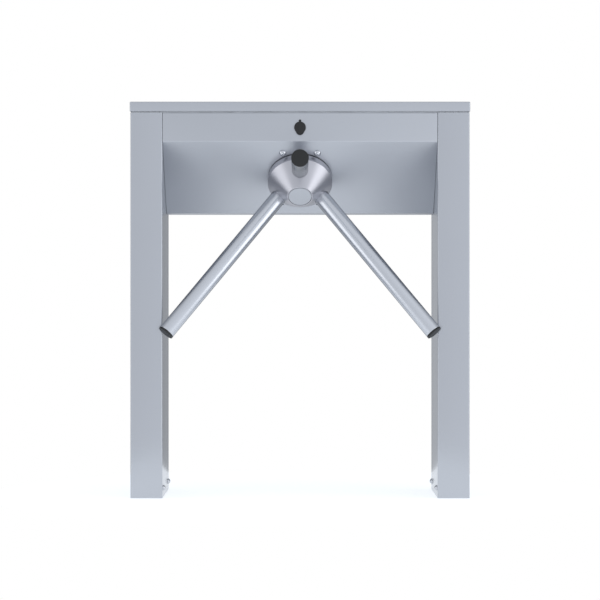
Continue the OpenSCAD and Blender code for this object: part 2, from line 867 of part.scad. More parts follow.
module bearing_balls() {
    color("gainsboro") at_rotor() at_bearings() translate([0, 0, bearing_w / 2]) {
        for (i = [0 : ball_count - 1]) rotate([0, 0, i * 360 / ball_count]) translate([pitch_r, 0, 0])
            sphere(d = ball_d);
        difference() {
            translate([0, 0, -cage_w / 2]) ring(pitch_r + cage_t / 2, pitch_r - cage_t / 2, cage_w);
            for (i = [0 : ball_count - 1]) rotate([0, 0, i * 360 / ball_count]) translate([pitch_r / 2, 0, 0])
                rotate([0, 90, 0]) cylinder(r = race_r, h = pitch_r);
        }
    }
}

// Pawls, solenoids and springs

// Coil along z from 0 to l
module coil(r, wire, l, turns) {
    rings = 8 * turns;
    sides = 6;
    function centre(i) = [r * cos(i * 45), r * sin(i * 45), l * i / rings];
    points = [
        for (i = [0 : rings], k = [0 : sides - 1])
            centre(i) + wire / 2 * (cos(k * 360 / sides) * [cos(i * 45), sin(i * 45), 0]
                + sin(k * 360 / sides) * [0, 0, 1])
    ];
    faces = concat(
        [[for (k = [sides - 1 : -1 : 0]) k]],
        [for (i = [0 : rings - 1], k = [0 : sides - 1])
            let (a = i * sides + k, b = i * sides + (k + 1) % sides)
            each [[a, b, a + sides], [b, b + sides, a + sides]]],
        [[for (k = [0 : sides - 1]) rings * sides + k]]
    );
    polyhedron(points, faces);
}

// Pawl outline about its pin: the eye and tail at rest, the arm and tooth turned back from full engagement
module pawl_outline() {
    tip = [pawl_pin_x, tooth_tip_y - pawl_pin_y];
    difference() {
        union() {
            circle(pawl_eye_r);
            translate([-pawl_arm_w / 2, 0]) square([pawl_arm_w, pawl_tail + plunger_d / 2]);
            rotate(pawl_turn) polygon([
                [0, pawl_eye_r * pawl_root_share], [tip[0] + tooth_foot_w / 2, tip[1] + tooth_h + pawl_arm_w],
                [tip[0] + tooth_foot_w / 2, tip[1] + tooth_h], [tip[0] + tooth_tip_w / 2, tip[1]],
                [tip[0] - tooth_tip_w / 2, tip[1]], [tip[0] - tooth_foot_w / 2, tip[1] + tooth_h],
                [0, -pawl_eye_r * pawl_root_share]
            ]);
        }
        circle(pin_d / 2 + run_c);
        translate([-plunger_pin_d / 2 - pawl_slot_c, pawl_tail - plunger_pin_d / 2 - pawl_slot_c])
            square([plunger_pin_d + pawl_slot_c * 2, plunger_d]);
    }
}

module pawl() {
    translate([-pawl_pin_x, pawl_pin_y, pawl_z]) linear_extrude(pawl_t) pawl_outline();
}

module entry_pawl() {
    color("goldenrod") at_rotor() pawl();
}

module exit_pawl() {
    color("goldenrod") at_rotor() rotate([0, 0, 180]) pawl();
}

// Plunger: slotted nose with a cross pin for the pawl's tail, and a collar for the return spring
module plunger() {
    translate([-pawl_pin_x, plunger_y, plunger_axis_z]) {
        difference() {
            union() {
                translate([-plunger_nose, 0, 0]) rotate([0, 90, 0]) cylinder(d = plunger_d, h = plunger_l);
                translate([return_spring_x - spring_collar_t, 0, 0]) rotate([0, 90, 0])
                    cylinder(r = spring_collar_r, h = spring_collar_t);
            }
            translate([-plunger_nose - cut, -plunger_d, -pawl_t / 2 - gap_c])
                cube([plunger_nose * 2 + cut * 2, plunger_d * 2, pawl_t + gap_c * 2]);
        }
        translate([0, 0, -plunger_d / 2]) cylinder(d = plunger_pin_d, h = plunger_d);
    }
}

module entry_plunger() {
    color("silver") at_rotor() plunger();
}

module exit_plunger() {
    color("silver") at_rotor() rotate([0, 0, 180]) plunger();
}

module return_springs() {
    l = solenoid_room - return_spring_x - return_wire;
    color("silver") at_rotor() for (a = [0, 180]) rotate([0, 0, a])
        translate([return_spring_x - pawl_pin_x + return_wire / 2, plunger_y, plunger_axis_z])
            rotate([0, 90, 0]) coil(return_spring_r, return_wire, l, 5);
}

// Solenoid: steel yoke on the rear plate, two cheeks and a coil round the plunger's bore
module solenoid() {
    base_z = rear_plate_z + plate_t;
    cheek_h = plunger_axis_z + solenoid_w / 2 - base_z;
    translate([solenoid_x, plunger_y - solenoid_h / 2, base_z]) difference() {
        union() {
            cube([solenoid_l, solenoid_h, plunger_axis_z - coil_r + solenoid_t - base_z]);
            for (x = [0, solenoid_l - solenoid_t]) translate([x, 0, 0])
                cube([solenoid_t, solenoid_h, cheek_h]);
            translate([solenoid_t, solenoid_h / 2, plunger_axis_z - base_z]) rotate([0, 90, 0])
                cylinder(r = coil_r, h = solenoid_l - solenoid_t * 2);
        }
        translate([-cut, solenoid_h / 2, plunger_axis_z - base_z]) rotate([0, 90, 0])
            cylinder(r = plunger_d / 2 + gap_c, h = plunger_l + cut - solenoid_t * 2);
    }
}

module solenoids() {
    color("firebrick") at_rotor() for (a = [0, 180]) rotate([0, 0, a]) solenoid();
}

// Pins of the pawls, with the sleeves that keep the pawls in the wheel's plane
module pawl_pins() {
    sleeve_r = 7.5;
    base_z = rear_plate_z + plate_t;
    color("silver") at_rotor() at_pawl_pins() {
        translate([0, 0, rear_plate_z]) cylinder(d = pin_d, h = front_plate_z + plate_t - rear_plate_z);
        translate([0, 0, base_z]) ring(sleeve_r, pin_d / 2, pawl_z - gap_c - base_z);
        translate([0, 0, pawl_z + pawl_t + gap_c])
            ring(sleeve_r, pin_d / 2, front_plate_z - pawl_z - pawl_t - gap_c);
    }
}

// Gears

function involute(a) = tan(a) * 180 / PI - a;
function flank_deg(teeth, radius) =
    let (pitch = gear_module * teeth / 2, base = pitch * cos(pressure_deg))
    90 / teeth - backlash / 4 / pitch * 180 / PI + involute(pressure_deg)
        - involute(acos(min(1, base / radius)));

module gear_outline(teeth) {
    pitch = gear_module * teeth / 2;
    root = pitch - gear_module * dedendum_share;
    tip = pitch + gear_module;
    start = max(root, pitch * cos(pressure_deg));
    radii = [for (k = [0 : flank_steps]) start + (tip - start) * k / flank_steps];
    polygon([for (t = [0 : teeth - 1]) let (mid = t * 360 / teeth) each concat(
        [root * [cos(mid - flank_deg(teeth, start)), sin(mid - flank_deg(teeth, start))]],
        [for (r = radii) r * [cos(mid - flank_deg(teeth, r)), sin(mid - flank_deg(teeth, r))]],
        [for (k = [flank_steps : -1 : 0]) let (r = radii[k], a = mid + flank_deg(teeth, r))
            r * [cos(a), sin(a)]],
        [root * [cos(mid + flank_deg(teeth, start)), sin(mid + flank_deg(teeth, start))]]
    )]);
}

// Bore on the shaft with its keyway
module keyed_bore(h) {
    w = shaft_d * key_w_share;
    top = shaft_r + shaft_d * key_h_share / 2;
    translate([0, 0, -cut]) cylinder(r = shaft_r, h = h + cut * 2);
    translate([0, -w / 2, -cut]) cube([top, w, h + cut * 2]);
}

module main_gear() {
    holes = 6;
    color("darkkhaki") at_rotor() translate([0, 0, gear_z]) difference() {
        linear_extrude(gear_w) gear_outline(gear_teeth);
        keyed_bore(gear_w);
        for (i = [0 : holes - 1]) rotate([0, 0, (i + 0.5) * 360 / holes])
            translate([(gear_pitch_r + shaft_r) / 2, 0, -cut])
                cylinder(r = shaft_r / 2, h = gear_w + cut * 2);
    }
}

// Index gear with the crank pin that stretches the index spring
module index_gear() {
    pin_l = spring_room - gear_room;
    color("darkkhaki") at_rotor() translate([-gear_axes, 0, gear_z]) {
        difference() {
            rotate([0, 0, 180 / pinion_teeth]) linear_extrude(gear_w) gear_outline(pinion_teeth);
            translate([0, 0, -cut]) cylinder(r = pin_d / 2 + run_c, h = gear_w + cut * 2);
        }
        translate([0, crank_r, -pin_l]) cylinder(d = crank_pin_d, h = pin_l + gear_w / 2);
        translate([0, crank_r, -pin_l - stud_head_t])
            cylinder(r = crank_pin_d * crank_head_share, h = stud_head_t);
    }
}

module damper_pinion() {
    stem_l = damper_neck + damper_stem_in - cut;
    color("darkkhaki") at_rotor() translate([gear_axes, 0, gear_z]) {
        rotate([0, 0, 180 / pinion_teeth]) linear_extrude(gear_w) gear_outline(pinion_teeth);
        translate([0, 0, -stem_l]) cylinder(r = damper_stem_r, h = stem_l + cut);
    }
}

module damper_body() {
    base_z = rear_plate_z + plate_t;
    h = gear_z - damper_neck - base_z;
    color("#2b2d30") at_rotor() translate([gear_axes, 0, base_z]) difference() {
        union() {
            cylinder(r = damper_r, h = h);
            cylinder(r = damper_r + damper_neck, h = damper_neck);
        }
        translate([0, 0, h - damper_stem_in]) cylinder(r = damper_stem_r + run_c, h = damper_stem_in + cut);
    }
}

// Stud of the index gear and post of the index spring, both on the front plate
module index_studs() {
    gear_top = gear_z + gear_w;
    post_l = front_plate_z - gear_z + spring_room - gear_room;
    color("silver") at_rotor() {
        translate([-gear_axes, 0, gear_z - gap_c - stud_head_t]) {
            cylinder(d = pin_d, h = front_plate_z - gear_z + gap_c + stud_head_t);
            cylinder(r = stud_head_r, h = stud_head_t);
        }
        translate([-gear_axes, 0, gear_top + gap_c])
            cylinder(r = stud_head_r, h = front_plate_z - gear_top - gap_c);
        translate([-gear_axes, spring_post_y, front_plate_z - post_l]) cylinder(r = post_r, h = post_l);
        translate([-gear_axes, spring_post_y, front_plate_z - post_l - stud_head_t])
            cylinder(r = post_r * post_head_share, h = stud_head_t);
    }
}

// Extension spring from the crank pin to its post, with a ring round each
module index_spring() {
    eye_r = post_r + gap_c + spring_wire / 2;
    coil_l = spring_post_y - crank_r - eye_r * 2;
    color("silver") at_rotor() translate([-gear_axes, 0, spring_z]) {
        for (y = [crank_r, spring_post_y]) translate([0, y, 0])
            rotate_extrude() translate([eye_r, 0]) circle(d = spring_wire, $fn = 16);
        for (y = [crank_r + eye_r, spring_post_y - eye_r]) translate([0, y, 0]) rotate([0, 90, 0])
            cylinder(d = spring_wire, h = spring_r, $fn = 16);
        translate([0, crank_r + eye_r, 0]) rotate([-90, 0, 0]) coil(spring_r, spring_wire, coil_l, 20);
    }
}

// Lock wheel and sensor disc

module lock_wheel() {
    color("darkkhaki") at_rotor() translate([0, 0, lock_wheel_z]) difference() {
        cylinder(r = lock_wheel_r, h = lock_wheel_t);
        keyed_bore(lock_wheel_t);
        for (i = [0 : notch_count - 1]) rotate([0, 0, i * 360 / notch_count])
            translate([0, 0, -cut]) linear_extrude(lock_wheel_t + cut * 2) polygon([
                [-notch_foot_w / 2, lock_wheel_r - notch_depth],
                [notch_foot_w / 2, lock_wheel_r - notch_depth],
                [notch_mouth_w / 2, lock_wheel_r + cut], [-notch_mouth_w / 2, lock_wheel_r + cut]
            ]);
    }
}

module sensor_disc() {
    disc_r = lock_wheel_r - sensor_disc_step;
    slot_l = 8;
    slot_w = 5;
    rim_w = 4;
    color("#2b2d30") at_rotor() translate([0, 0, sensor_disc_z]) difference() {
        cylinder(r = disc_r, h = sensor_disc_t);
        translate([0, 0, -cut]) cylinder(r = shaft_r, h = sensor_disc_t + cut * 2);
        for (i = [0 : arm_count * 2 - 1]) rotate([0, 0, i * arm_turn / 2])
            translate([disc_r - rim_w - slot_l, -slot_w / 2, -cut])
                cube([slot_l, slot_w, sensor_disc_t + cut * 2]);
    }
}

// Fork sensors on the rear plate, open round the disc's rim
module position_sensors() {
    fork_x = 38;
    fork_l = 18;
    fork_w = 12;
    fork_c = 1;
    slot_share = 0.6;
    base_z = rear_plate_z + plate_t;
    fork_h = lock_wheel_z - base_z - fork_c;
    color("#2b2d30") at_rotor() for (a = [30, 210]) rotate([0, 0, a]) translate([fork_x, -fork_w / 2, base_z])
        difference() {
            cube([fork_l, fork_w, fork_h]);
            translate([-cut, -cut, sensor_disc_z - base_z - sensor_disc_t])
                cube([fork_l * slot_share + cut, fork_w + cut * 2, sensor_disc_t * 3]);
        }
}

// Shaft and what is clamped on it

module shaft() {
    top = hub_bore_top - gap_c;
    color("silver") at_rotor() difference() {
        union() {
            translate([0, 0, shaft_end_z]) cylinder(r = shaft_r, h = top - shaft_end_z);
            translate([0, 0, hub_gap - collar_t]) cylinder(r = inner_land_r, h = collar_t);
        }
        translate([0, 0, top - hub_key_l]) cylinder(r = hub_bolt_d / 2 + run_c, h = hub_key_l + cut);
        at_keys() key_block();
    }
}

module at_keys() {
    for (place = key_places) translate([0, 0, place[0]]) {
        $key_l = place[1];
        children();
    }
}

module key_block() {
    w = shaft_d * key_w_share;
    h = shaft_d * key_h_share;
    translate([shaft_r - h / 2, -w / 2, 0]) cube([h, w, $key_l]);
}

module shaft_keys() {
    color("dimgray") at_rotor() at_keys() key_block();
}

module spacer(z0, z1) {
    translate([0, 0, z0]) ring(inner_land_r, shaft_r, z1 - z0);
}

module shaft_spacers() {
    color("gray") at_rotor() {
        spacer(gear_z + gear_w, front_bearing_z);
        spacer(lock_wheel_z + lock_wheel_t, gear_z);
        spacer(sensor_disc_z + sensor_disc_t, lock_wheel_z);
        spacer(rear_bearing_z + bearing_w, sensor_disc_z);
    }
}

// Slotted round nut that clamps the inner rings and spacers
module shaft_nut() {
    slots = 4;
    slot_w = 5;
    color("silver") at_rotor() translate([0, 0, rear_bearing_z - nut_t]) difference() {
        ring(nut_r, shaft_r, nut_t);
        for (i = [0 : slots - 1]) rotate([0, 0, i * 360 / slots])
            translate([nut_r - slot_w / 2, -slot_w / 2, -cut]) cube([slot_w, slot_w, nut_t + cut * 2]);
    }
}

// Hub: drum and cone with a socket for each arm and a recess for the nose disc
module hub() {
    recess_z = hub_nose_z - nose_disc_t;
    color("silver") at_rotor() difference() {
        rotate_extrude($fn = 128) polygon([
            [shaft_r, hub_gap], [hub_r, hub_gap], [hub_r, hub_gap + hub_rim], [hub_nose_r, hub_nose_z],
            [nose_recess_r, hub_nose_z], [nose_recess_r, recess_z], [hub_cavity_r, recess_z],
            [hub_cavity_r, hub_bore_top], [shaft_r, hub_bore_top]
        ]);
        translate([0, 0, hub_gap]) keyed_slot();
        for (i = [0 : arm_count - 1]) on_arm(i) {
            translate([0, 0, socket_s]) cylinder(d = arm_d, h = hub_d);
            cylinder(r = arm_bolt_d / 2 + run_c, h = socket_s + cut);
            cylinder(r = arm_bolt_head_r + cut, h = bolt_seat_s);
        }
    }
}

module keyed_slot() {
    w = shaft_d * key_w_share;
    translate([0, -w / 2, -cut]) cube([shaft_r + shaft_d * key_h_share / 2, w, hub_key_l + cut]);
}

module hub_nose_disc() {
    color("gainsboro") at_rotor() translate([0, 0, hub_nose_z - nose_disc_t])
        cylinder(d = nose_disc_d, h = nose_disc_t, $fn = 128);
}

module hub_bolt() {
    color("silver") at_rotor() translate([0, 0, hub_bore_top]) {
        difference() {
            union() {
                cylinder(r = hub_washer_r, h = hub_washer_t);
                cylinder(r = hub_bolt_head_r, h = hub_washer_t + hub_bolt_head_h);
            }
            translate([0, 0, hub_washer_t + hub_bolt_head_h / 2])
                cylinder(r = hub_bolt_d * hub_socket_share, h = hub_bolt_head_h, $fn = 6);
        }
        translate([0, 0, -hub_key_l + nose_disc_t])
            cylinder(d = hub_bolt_d, h = hub_key_l - nose_disc_t + cut);
    }
}

// Arm: tube with a threaded plug welded into its inner end
module arm(i) {
    color("gainsboro") at_rotor() on_arm(i) difference() {
        translate([0, 0, socket_s]) cylinder(d = arm_d, h = arm_end_s - socket_s, $fn = 96);
        translate([0, 0, socket_s + arm_plug_l]) cylinder(r = arm_r - arm_wall, h = arm_reach);
        translate([0, 0, socket_s - cut]) cylinder(r = arm_bolt_d / 2 + run_c, h = arm_plug_l + cut * 2);
    }
}

module arm_front() {
    arm(0);
}

module arm_left() {
    arm(1);
}

module arm_right() {
    arm(2);
}

module arm_caps() {
    edge = 0.8;
    color("#363638") at_rotor() for (i = [0 : arm_count - 1]) on_arm(i) translate([0, 0, arm_end_s])
        rotate_extrude() polygon([
            [0, -cap_plug_l], [arm_r - arm_wall, -cap_plug_l], [arm_r - arm_wall, 0], [cap_d / 2, 0],
            [cap_d / 2, cap_t - edge], [cap_d / 2 - edge, cap_t], [0, cap_t]
        ]);
}

module arm_bolts() {
    color("dimgray") at_rotor() for (i = [0 : arm_count - 1]) on_arm(i) translate([0, 0, bolt_seat_s]) {
        cylinder(d = arm_bolt_d, h = arm_plug_l);
        translate([0, 0, -arm_bolt_head_h]) difference() {
            cylinder(r = arm_bolt_head_r, h = arm_bolt_head_h);
            translate([0, 0, -cut])
                cylinder(r = arm_bolt_d * socket_share, h = arm_bolt_head_h / 2 + cut, $fn = 6);
        }
    }
}

// Electronics in the cabinet

module control_board() {
    inset = 6;
    color("darkgreen") {
        translate([board_x, board_y, board_z]) cube([board_w, board_t, board_h]);
        for (x = [inset, board_w - inset], z = [inset, board_h - inset])
            translate([board_x + x, board_y + board_t, board_z + z]) rotate([-90, 0, 0])
                cylinder(r = standoff_r, h = standoff_l);
    }
}

// Relays, terminal strip, chip, plug and capacitors on the board, placed as shares of its size
module board_components() {
    relay_w = 18;
    relay_d = 16;
    relay_h = 15;
    strip_w = 90;
    strip_d = 12;
    strip_h = 10;
    chip_w = 20;
    chip_d = 3;
    plug_w = 24;
    plug_d = 12;
    plug_h = 8;
    can_r = 5;
    can_l = 14;
    relay_x_shares = [0.1, 0.28, 0.46];
    can_x_shares = [0.72, 0.84];
    color("dimgray") {
        for (x = relay_x_shares) on_board(x, 0.66) translate([0, -relay_d, 0])
            cube([relay_w, relay_d, relay_h]);
        on_board(0.12, 0.06) translate([0, -strip_d, 0]) cube([strip_w, strip_d, strip_h]);
        on_board(0.3, 0.32) translate([0, -chip_d, 0]) cube([chip_w, chip_d, chip_w]);
        on_board(0.62, 0.36) translate([0, -plug_d, 0]) cube([plug_w, plug_d, plug_h]);
        for (x = can_x_shares) on_board(x, 0.75) rotate([90, 0, 0]) cylinder(r = can_r, h = can_l);
    }
}

module on_board(x_share, z_share) {
    translate([board_x + board_w * x_share, board_y, board_z + board_h * z_share]) children();
}

// Power supply: vented sheet metal box on the back panel, above the front panel's rear flange
module power_supply() {
    color("silver") translate([supply_x, back_y - sheet_t - supply_d, under_z + back_flange_h + supply_rise])
        difference() {
            cube([supply_w, supply_d, supply_h]);
            translate([supply_wall, supply_wall, supply_wall])
                cube([supply_w - supply_wall * 2, supply_d - supply_wall * 2, supply_h - supply_wall * 2]);
            for (i = [1 : vents])
                translate([(supply_w - vent_w) / 2, -cut, (supply_h - vent_h) * i / (vents + 1)])
                    cube([vent_w, supply_wall + cut * 2, vent_h]);
        }
}

leg_left();
leg_right();
floor_brackets();
foot_bolts();
front_panel();
back_panel();
end_plates();
leg_joint_bolts();
leg_grommets();
lid_seal();
hinge_leaves_fixed();
hinge_pins();
lock_barrel();
lock_nut();
cover_rivet();
mechanism_front_plate();
mechanism_rear_plate();
frame_pillars();
flange_bolts();
bearing_housings();
bearing_outer_rings();
solenoids();
return_springs();
pawl_pins();
index_studs();
index_spring();
damper_body();
position_sensors();
control_board();
board_components();
power_supply();
shaft();
shaft_keys();
hub();
hub_nose_disc();
arm_front();
arm_left();
arm_right();
arm_caps();
arm_bolts();
hub_bolt();
main_gear();
lock_wheel();
sensor_disc();
shaft_spacers();
shaft_nut();
bearing_inner_rings();
bearing_balls();
damper_pinion();
index_gear();
entry_pawl();
exit_pawl();
entry_plunger();
exit_plunger();
lid();
lid_catch();
hinge_leaves_lid();
lock_plug();
lock_cam();
keyhole_cover();
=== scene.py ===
"""Looks of the tripod turnstile: folded satin casing, polished rotor, fasteners, springs and finishes."""

import json
import math

import bmesh
import bpy
from bpy.props import FloatProperty, FloatVectorProperty, IntProperty, PointerProperty
from mathutils import Matrix, Vector


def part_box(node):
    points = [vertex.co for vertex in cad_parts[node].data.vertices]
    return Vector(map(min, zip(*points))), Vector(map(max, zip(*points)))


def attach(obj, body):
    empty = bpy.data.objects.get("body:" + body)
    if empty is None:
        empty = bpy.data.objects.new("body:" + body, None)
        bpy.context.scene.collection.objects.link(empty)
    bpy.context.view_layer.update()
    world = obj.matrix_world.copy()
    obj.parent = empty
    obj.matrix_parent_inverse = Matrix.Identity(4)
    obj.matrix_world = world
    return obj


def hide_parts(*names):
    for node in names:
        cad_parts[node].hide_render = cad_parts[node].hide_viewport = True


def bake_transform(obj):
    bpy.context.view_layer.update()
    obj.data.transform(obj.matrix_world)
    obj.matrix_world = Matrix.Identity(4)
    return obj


bl_info = {
    "name": "Tripod Turnstile",
    "version": (1, 0, 0),
    "blender": (4, 5, 0),
    "location": "View3D > Sidebar > Turnstile",
    "description": "Builds the visible pieces and finishes of a tripod turnstile round its CAD frame",
    "category": "Add Mesh",
}

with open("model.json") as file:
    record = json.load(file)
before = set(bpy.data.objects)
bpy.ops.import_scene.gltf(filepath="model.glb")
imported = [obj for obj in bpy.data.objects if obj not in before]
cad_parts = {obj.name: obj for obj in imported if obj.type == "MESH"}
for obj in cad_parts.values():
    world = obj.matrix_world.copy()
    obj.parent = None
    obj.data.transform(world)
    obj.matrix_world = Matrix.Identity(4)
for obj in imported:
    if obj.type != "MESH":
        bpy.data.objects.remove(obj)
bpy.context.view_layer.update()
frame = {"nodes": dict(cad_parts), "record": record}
NODES = frame["nodes"]
BODY_OF = {node: body for body, nodes in frame["record"]["behaviour"]["bodies"].items() for node in nodes}
PANEL_LOW, PANEL_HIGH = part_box("front_panel")
LEG_LOW, LEG_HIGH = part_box("leg_right")


# Sizes and colours

def hex_colour(text):
    """An sRGB hex colour as linear RGBA."""
    parts = [int(text[i:i + 2], 16) / 255 for i in (1, 3, 5)]
    return [p / 12.92 if p <= 0.04045 else ((p + 0.055) / 1.055) ** 2.4 for p in parts] + [1.0]


def length(name, description, default):
    """A size in metres."""
    return FloatProperty(
        name=name, description=description, default=default, min=0, unit="LENGTH", subtype="DISTANCE")


def colour(name, description, default):
    """A colour, given as sRGB hex."""
    return FloatVectorProperty(
        name=name, description=description, default=hex_colour(default)[:3], size=3, min=0, max=1,
        subtype="COLOR")


def ratio(name, description, default, least):
    """A size as a share of another."""
    return FloatProperty(name=name, description=description, default=default, min=least)


class TURNSTILE_PG_casing(bpy.types.PropertyGroup):
    sheet: length("Sheet", "Thickness of the folded sheet", 0.002)
    bend: length("Bend", "Outer radius of the folds", 0.0026)
    lip: length("Lip", "Width of the lips folded inwards", 0.012)
    leg_width: length("Leg Width", "Width of a leg across the passage", LEG_HIGH.x - LEG_LOW.x)
    depth: length("Depth", "Depth of the legs, front to back", LEG_HIGH.y - LEG_LOW.y)
    front_height: length("Front Height", "Height of the vertical front face", 0.0725)
    slope_drop: length("Slope Drop", "Drop and run of the slope", 0.175)
    rear_flange: length("Rear Flange", "Height of the front panel's rear flange", 0.02)
    edge: length("Edge", "Rounding of cut sheet edges", 0.0003)
    steel: colour("Satin Steel", "Colour of the satin stainless sheet", "#B9BCC2")


class TURNSTILE_PG_rotor(bpy.types.PropertyGroup):
    drop: length("Drop", "From the slope's upper fold down to the rotor axis", 0.124)
    apex_depth: length("Apex Depth", "Depth of the arms' common point behind the slope", 0.0248)
    reach: length("Reach", "From that point to the end of an arm", 0.551)
    arm_diameter: length("Arm Diameter", "Outer diameter of an arm", 0.041)
    arm_wall: length("Arm Wall", "Wall of an arm's tube", 0.002)
    arm_start: length("Arm Start", "From the common point to the inner end of an arm", 0.066)
    plug: length("Plug", "Length of the threaded plug in an arm", 0.032)
    cap_diameter: length("Cap Diameter", "Diameter of an end cap", 0.041)
    cap_thickness: length("Cap Thickness", "Thickness of an end cap that shows", 0.005)
    hub_diameter: length("Hub Diameter", "Diameter of the hub's drum", 0.1645)
    hub_gap: length("Hub Gap", "Gap between the hub and the slope", 0.0025)
    hub_rim: length("Hub Rim", "Height of the hub's drum", 0.0187)
    hub_cone: length("Hub Cone", "Height of the hub's cone", 0.05)
    disc_diameter: length("Disc Diameter", "Diameter of the nose disc", 0.058)
    disc_thickness: length("Disc Thickness", "Thickness of the nose disc", 0.0045)
    groove: length("Groove", "Groove round the nose disc", 0.0012)
    bore: length("Bore", "Diameter of the hub's bore", 0.03)
    well: length("Well", "Diameter of the well for the hub's bolt", 0.042)
    well_floor: length("Well Floor", "From the hub's inner face to the floor of that well", 0.042)
    arm_bolt: length("Arm Bolt", "Thread diameter of the bolt in an arm's plug", 0.01)
    arm_bolt_well: length("Arm Bolt Well", "Diameter of the well for that bolt's head", 0.018)
    arm_seat: length("Arm Seat", "Wall between that well and an arm's socket", 0.008)
    hub_steel: colour("Hub Steel", "Colour of the polished hub", "#B6B6BC")
    tube_steel: colour("Tube Steel", "Colour of the polished arms", "#C8CBD1")
    cap_plastic: colour("Cap Plastic", "Colour of the black mouldings", "#101112")


class TURNSTILE_PG_fasteners(bpy.types.PropertyGroup):
    slope_bolt: length("Slope Bolt", "Thread diameter of the slope's bolts", 0.010)
    slope_bolt_x: length("Slope Bolt X", "Distance of the slope's bolts beside the rotor axis", 0.044)
    slope_bolt_y: length("Slope Bolt Y", "Distance of the slope's bolts above and below the axis", 0.0855)
    slope_shank: length("Slope Shank", "Shank of the slope's bolts", 0.016)
    foot_bolt: length("Foot Bolt", "Thread diameter of the foot bolts", 0.008)
    foot_height: length("Foot Height", "Height of the foot bolts", 0.024)
    foot_span: length("Foot Span", "Distance between a leg's foot bolts", 0.209)
    foot_shank: length("Foot Shank", "Shank of the foot bolts", 0.012)
    head_radius: ratio("Head Radius", "Radius of a button head in thread diameters", 0.92, 0.6)
    head_height: ratio("Head Height", "Height of a button head in thread diameters", 0.8, 0.5)
    socket_radius: ratio("Socket Radius", "Radius of a head's socket in thread diameters", 0.25, 0.1)
    socket_depth: ratio("Socket Depth", "Depth of a head's socket in thread diameters", 0.4, 0.1)


class TURNSTILE_PG_cover(bpy.types.PropertyGroup):
    disc: length("Disc", "Diameter of the keyhole cover", 0.0294)
    lobe: length("Lobe", "Diameter of its finger lobe", 0.02)
    lobe_drop: length("Lobe Drop", "From the keyhole down to the lobe's centre", 0.0094)
    pivot_rise: length("Pivot Rise", "From the keyhole up to the cover's rivet", 0.0165)
    boss: length("Boss", "Diameter of the ear round the rivet", 0.0064)
    rivet_hole: length("Rivet Hole", "Diameter of the rivet's hole", 0.0031)
    edge: length("Edge", "Rounding of the cover's outer edge", 0.0007)


class TURNSTILE_PG_springs(bpy.types.PropertyGroup):
    return_radius: length("Return Radius", "Coil radius of the return springs", 0.0066)
    return_wire: length("Return Wire", "Wire diameter of the return springs", 0.001)
    return_turns: IntProperty(name="Return Turns", description="Turns of a return spring", default=5, min=1)
    index_radius: length("Index Radius", "Coil radius of the index spring", 0.0034)
    index_wire: length("Index Wire", "Wire diameter of the index spring", 0.0012)
    index_turns: IntProperty(name="Index Turns", description="Turns of the index spring", default=24, min=1)


class TURNSTILE_PG_studio(bpy.types.PropertyGroup):
    camera_distance: length("Camera Distance", "Camera's distance in front of the middle of the part", 5.822)
    camera_height: length("Camera Height", "Camera's height over the floor", 0.5)
    lens: FloatProperty(name="Lens", description="Focal length in millimetres", default=135.3, min=1)
    floor: colour("Floor", "Colour of the floor", "#BCBFC3")


def sizes(group):
    return getattr(bpy.context.scene, "turnstile_" + group)


# Places

def rotor_frame():
    """Frame on the rotor axis at the slope: local z out of the slope, local y up the slope."""
    rotor, casing = sizes("rotor"), sizes("casing")
    run = rotor.drop * math.sin(math.pi / 4)
    top = LEG_HIGH.z - casing.front_height
    place = Matrix.Translation((0, LEG_LOW.y + run, top - run))
    return place @ Matrix.Rotation(math.radians(135), 4, "X")


def arm_frame(index):
    """Frame on an arm's axis, from the common point outwards."""
    turn = Matrix.Rotation(math.radians(120 * index), 4, "Z") @ Matrix.Rotation(math.radians(-45), 4, "X")
    return rotor_frame() @ Matrix.Translation((0, 0, -sizes("rotor").apex_depth)) @ turn


# Mesh tools

# Points nearer than this are one, and a radius under it lies on the axis, in metres
SAME_POINT = 1e-7
ON_AXIS = 1e-6
# The same for the points of a CAD node's loose triangles
CAD_SAME_POINT = 2e-6


def arc(centre, radius, start, end, steps):
    """Points on an arc, angles in degrees."""
    angles = [math.radians(start + (end - start) * k / steps) for k in range(steps + 1)]
    return [(centre[0] + radius * math.cos(a), centre[1] + radius * math.sin(a)) for a in angles]


def filleted(corners, steps=5, closed=True):
    """The points of an outline of (a, b, radius) corners, with an arc of that radius at each."""
    points = []
    count = len(corners)
    for i, (a, b, radius) in enumerate(corners):
        here = Vector((a, b))
        if radius <= 0 or (not closed and i in (0, count - 1)):
            points.append((a, b))
            continue
        back = (Vector(corners[i - 1][:2]) - here).normalized()
        ahead = (Vector(corners[(i + 1) % count][:2]) - here).normalized()
        half = back.angle(ahead) / 2
        middle = here + (back + ahead).normalized() * (radius / math.sin(half))
        first = here + back * (radius / math.tan(half)) - middle
        last = here + ahead * (radius / math.tan(half)) - middle
        sweep = first.angle_signed(last)
        for k in range(steps + 1):
            turned = Matrix.Rotation(-sweep * k / steps, 2) @ first
            points.append((middle.x + turned.x, middle.y + turned.y))
    return points


def linked(name, mesh):
    """A new object of the scene with this mesh."""
    piece = bpy.data.objects.new(name, mesh)
    bpy.context.scene.collection.objects.link(piece)
    return piece


def smooth(mesh, sharp=30):
    """Smooth shading, but for the edges over the sharp angle."""
    mesh.shade_smooth()
    mesh.set_sharp_from_angle(angle=math.radians(sharp))


def make_piece(name, vertices, faces, sharp=30):
    """A closed mesh object with outward faces."""
    mesh = bpy.data.meshes.new(name)
    bm = bmesh.new()
    made = [bm.verts.new(v) for v in vertices]
    for face in faces:
        if len(set(face)) > 2:
            bm.faces.new([made[i] for i in dict.fromkeys(face)])
    bmesh.ops.remove_doubles(bm, verts=bm.verts, dist=SAME_POINT)
    bmesh.ops.recalc_face_normals(bm, faces=bm.faces)
    bm.to_mesh(mesh)
    bm.free()
    smooth(mesh, sharp)
    return linked(name, mesh)


